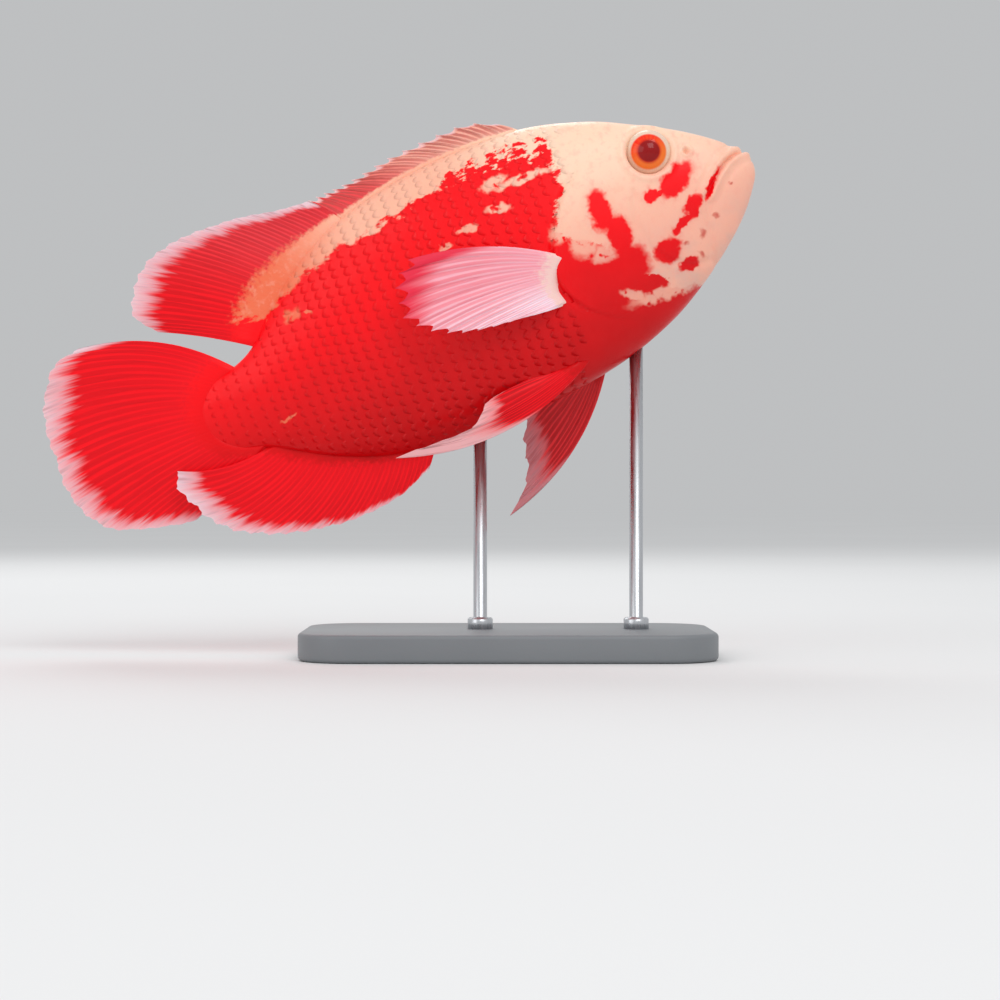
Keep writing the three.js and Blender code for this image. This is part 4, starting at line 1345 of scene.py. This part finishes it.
# %% [markdown]
# ## The stand
# A fish in water needs no feet, so the model hangs over a plain plate on two rods. The plate
# has a softly rounded edge and a fine satin paint; the rods are brushed steel, each in a small
# collar. Sizes come from the boxes of the solids they stand for.

# %% Stand materials
FINE_DEPTH = 0.0001


def painted_plate():
    """Fine satin paint, a little cloudy."""
    material, graph, where = new_material("stand_paint")
    cloud = graph.noise(where, 14.0, 3.0)
    return dress(material, graph, {
        "Base Color": graph.blend(cloud, colour(112, 116, 120), colour(128, 131, 134)),
        "Roughness": graph.step(cloud, 0.3, 0.7, 0.42, 0.52),
    }, (graph.noise(where, 900.0, 2.0), 0.25, FINE_DEPTH))


def brushed_rod():
    """Steel brushed along the rod: noise that is stretched along Z."""
    material, graph, where = new_material("stand_steel", Metallic=1.0)
    lines = graph.noise(graph.vector("MULTIPLY", where, (900, 900, 60)), 1.0, 3.0)
    return dress(material, graph, {
        "Base Color": graph.blend(lines, colour(182, 184, 188), colour(206, 208, 211)),
        "Roughness": graph.step(lines, 0.3, 0.7, 0.22, 0.4),
    }, (lines, 0.2, FINE_DEPTH))


paint, steel = painted_plate(), brushed_rod()
print("materials:", paint.name, "and", steel.name)

# %% The base plate
BASE_CORNER = 0.020
BASE_EDGE = 0.0016
EDGE_STEPS = 6
CORNER_STEPS = 18


def rounded_plate(low, high, corner, edge):
    """Rings of a plate with round corners and a rolled edge, from the underside to the top."""
    half_x, half_y = (high[0] - low[0]) / 2, (high[1] - low[1]) / 2
    middle = ((high[0] + low[0]) / 2, (high[1] + low[1]) / 2)
    roll = np.linspace(0, math.pi / 2, EDGE_STEPS)
    levels = [(edge * (1 - math.sin(r)), low[2] + edge * (1 - math.cos(r))) for r in roll]
    levels += [(edge * (1 - math.cos(r)), high[2] - edge * (1 - math.sin(r))) for r in roll]
    rings = []
    for inset, z in levels:
        ring, r = [], corner - inset
        for quarter, (sx, sy) in enumerate(((1, 1), (-1, 1), (-1, -1), (1, -1))):
            for t in np.linspace(0, math.pi / 2, CORNER_STEPS) + quarter * math.pi / 2:
                ring.append((middle[0] + sx * (half_x - corner) + r * math.cos(t),
                             middle[1] + sy * (half_y - corner) + r * math.sin(t), z))
        rings.append(ring)
    return np.array(rings)


plate_rings = rounded_plate(*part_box("stand_base"), BASE_CORNER, BASE_EDGE)
rows, around = plate_rings.shape[:2]
plate_faces = grid_faces(rows, around, wrap=True).tolist()
plate_faces += [list(range(around))[::-1], [(rows - 1) * around + i for i in range(around)]]
base = new_mesh("stand_plate", plate_rings, plate_faces, paint)
finished(base, "stand_base", slot="stand_base")

# %% The rods and their collars
COLLAR_RADIUS = 0.0046
COLLAR_HEIGHT = 0.0042
COLLAR_LIP = 0.0006
FOOT_SUNK = 0.001
ROD_BEVEL = 0.0002
ROD_IN_BELLY = 0.0004
ROD_SIDES = 48
# A face that looks up or down more than this is shaded flat
FLAT_RISE = 0.3


def turned_rod(name, node):
    """A rod with a collar at its foot, turned from one profile of radius and height."""
    low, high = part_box(node)
    radius = (high[0] - low[0]) / 2
    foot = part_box("stand_base")[1][2]
    top = foot + COLLAR_HEIGHT
    profile = [(0, foot - FOOT_SUNK), (COLLAR_RADIUS, foot - FOOT_SUNK),
               (COLLAR_RADIUS, top - COLLAR_LIP), (COLLAR_RADIUS - COLLAR_LIP, top),
               (radius + ROD_BEVEL, top), (radius, top + ROD_BEVEL),
               (radius, high[2] + ROD_IN_BELLY), (0, high[2] + ROD_IN_BELLY + ROD_BEVEL)]
    centre = ((low[0] + high[0]) / 2, (low[1] + high[1]) / 2)
    points, faces = turned_solid(
        profile, ROD_SIDES, lambda x, y, z: (centre[0] + x, centre[1] + y, z))
    rod = new_mesh(name, points, faces, steel)
    for polygon in rod.data.polygons:
        polygon.use_smooth = abs(polygon.normal.z) < FLAT_RISE
    return finished(rod, node, slot="stand_rod")


turned_rod("rod_front", "stand_rod_front")
turned_rod("rod_rear", "stand_rod_rear")

# %% [markdown]
# ## Floor, light and camera
# A pale floor and three large soft lamps show the form without hard shadows. The camera looks
# level along +Y from far enough away that the fish keeps the flat look of a long lens.

# %% Floor and light
FLOOR_TONE = 0.76
FLOOR_RADIUS = 12.0
FLOOR_SIDES = 96
SKY_LIGHT = 0.7
SKY_COLOUR = (0.97, 0.985, 1, 1)
LAMP_AIM = (0, 0, 0.11)


def pale_floor():
    """A matt floor with the faintest clouds."""
    material, graph, where = new_material("pale_floor", Roughness=0.8, Specular_IOR_Level=0.0)
    tones = [(shade, shade, shade, 1) for shade in (FLOOR_TONE * 0.98, FLOOR_TONE * 1.02)]
    return dress(material, graph, {"Base Color": graph.blend(graph.noise(where, 3.0, 2.0), *tones)})


turn = np.linspace(0, 2 * math.pi, FLOOR_SIDES, endpoint=False)
disc = [(FLOOR_RADIUS * math.cos(t), FLOOR_RADIUS * math.sin(t), -0.0001) for t in turn]
floor = new_mesh("floor", disc, [list(range(FLOOR_SIDES))], pale_floor())

world = bpy.data.worlds.new("studio")
bpy.context.scene.world = world
bpy.context.scene.view_settings.view_transform = "Standard"
world.use_nodes = True
studio = Graph(world.node_tree)
# The camera sees the sky as dark as the floor, so that the two meet softly
seen = studio.add("ShaderNodeLightPath").outputs["Is Camera Ray"]
background = world.node_tree.nodes["Background"].inputs
studio.feed(background["Color"], SKY_COLOUR)
studio.feed(background["Strength"], studio.step(seen, 0, 1, SKY_LIGHT, SKY_LIGHT * FLOOR_TONE))


def soft_lamp(name, place, size, power):
    """A square lamp that faces the fish."""
    light = bpy.data.lights.new(name, "AREA")
    light.size, light.energy = size, power
    lamp = bpy.data.objects.new(name, light)
    bpy.context.scene.collection.objects.link(lamp)
    lamp.location = place
    aim = Vector(LAMP_AIM) - Vector(place)
    lamp.rotation_euler = aim.to_track_quat("-Z", "Y").to_euler()


soft_lamp("key", (0.5, -1.3, 1.5), 1.1, 12.5)
soft_lamp("fill", (-1.2, -0.9, 0.7), 1.0, 4)
soft_lamp("rim", (-0.3, 1.0, 1.1), 0.8, 5.5)
print("lamps:", len(bpy.data.lights))

# %% [markdown]
# The camera stands level with the lower part of the model, as the photo's does, so it never
# looks from under the floor. Its distance follows from the width that it has to show.

# %% The camera
LENS = 85
AIM = (-0.0029, 0.0571)
FRAME_WIDTH = 0.366
SENSOR = 36
distance = FRAME_WIDTH * LENS / SENSOR
camera = bpy.data.objects.new("camera", bpy.data.cameras.new("camera"))
camera.data.lens = LENS
camera.location = (AIM[0], -distance, AIM[1])
camera.rotation_euler = (math.radians(90), 0, 0)
bpy.context.scene.collection.objects.link(camera)
bpy.context.scene.camera = camera
print("camera", round(distance, 3), "m away")

# %% [markdown]
# ## Sizes and the end
# The dressed model must fill the same box as the solids.

# %% Finish
bpy.context.view_layer.update()
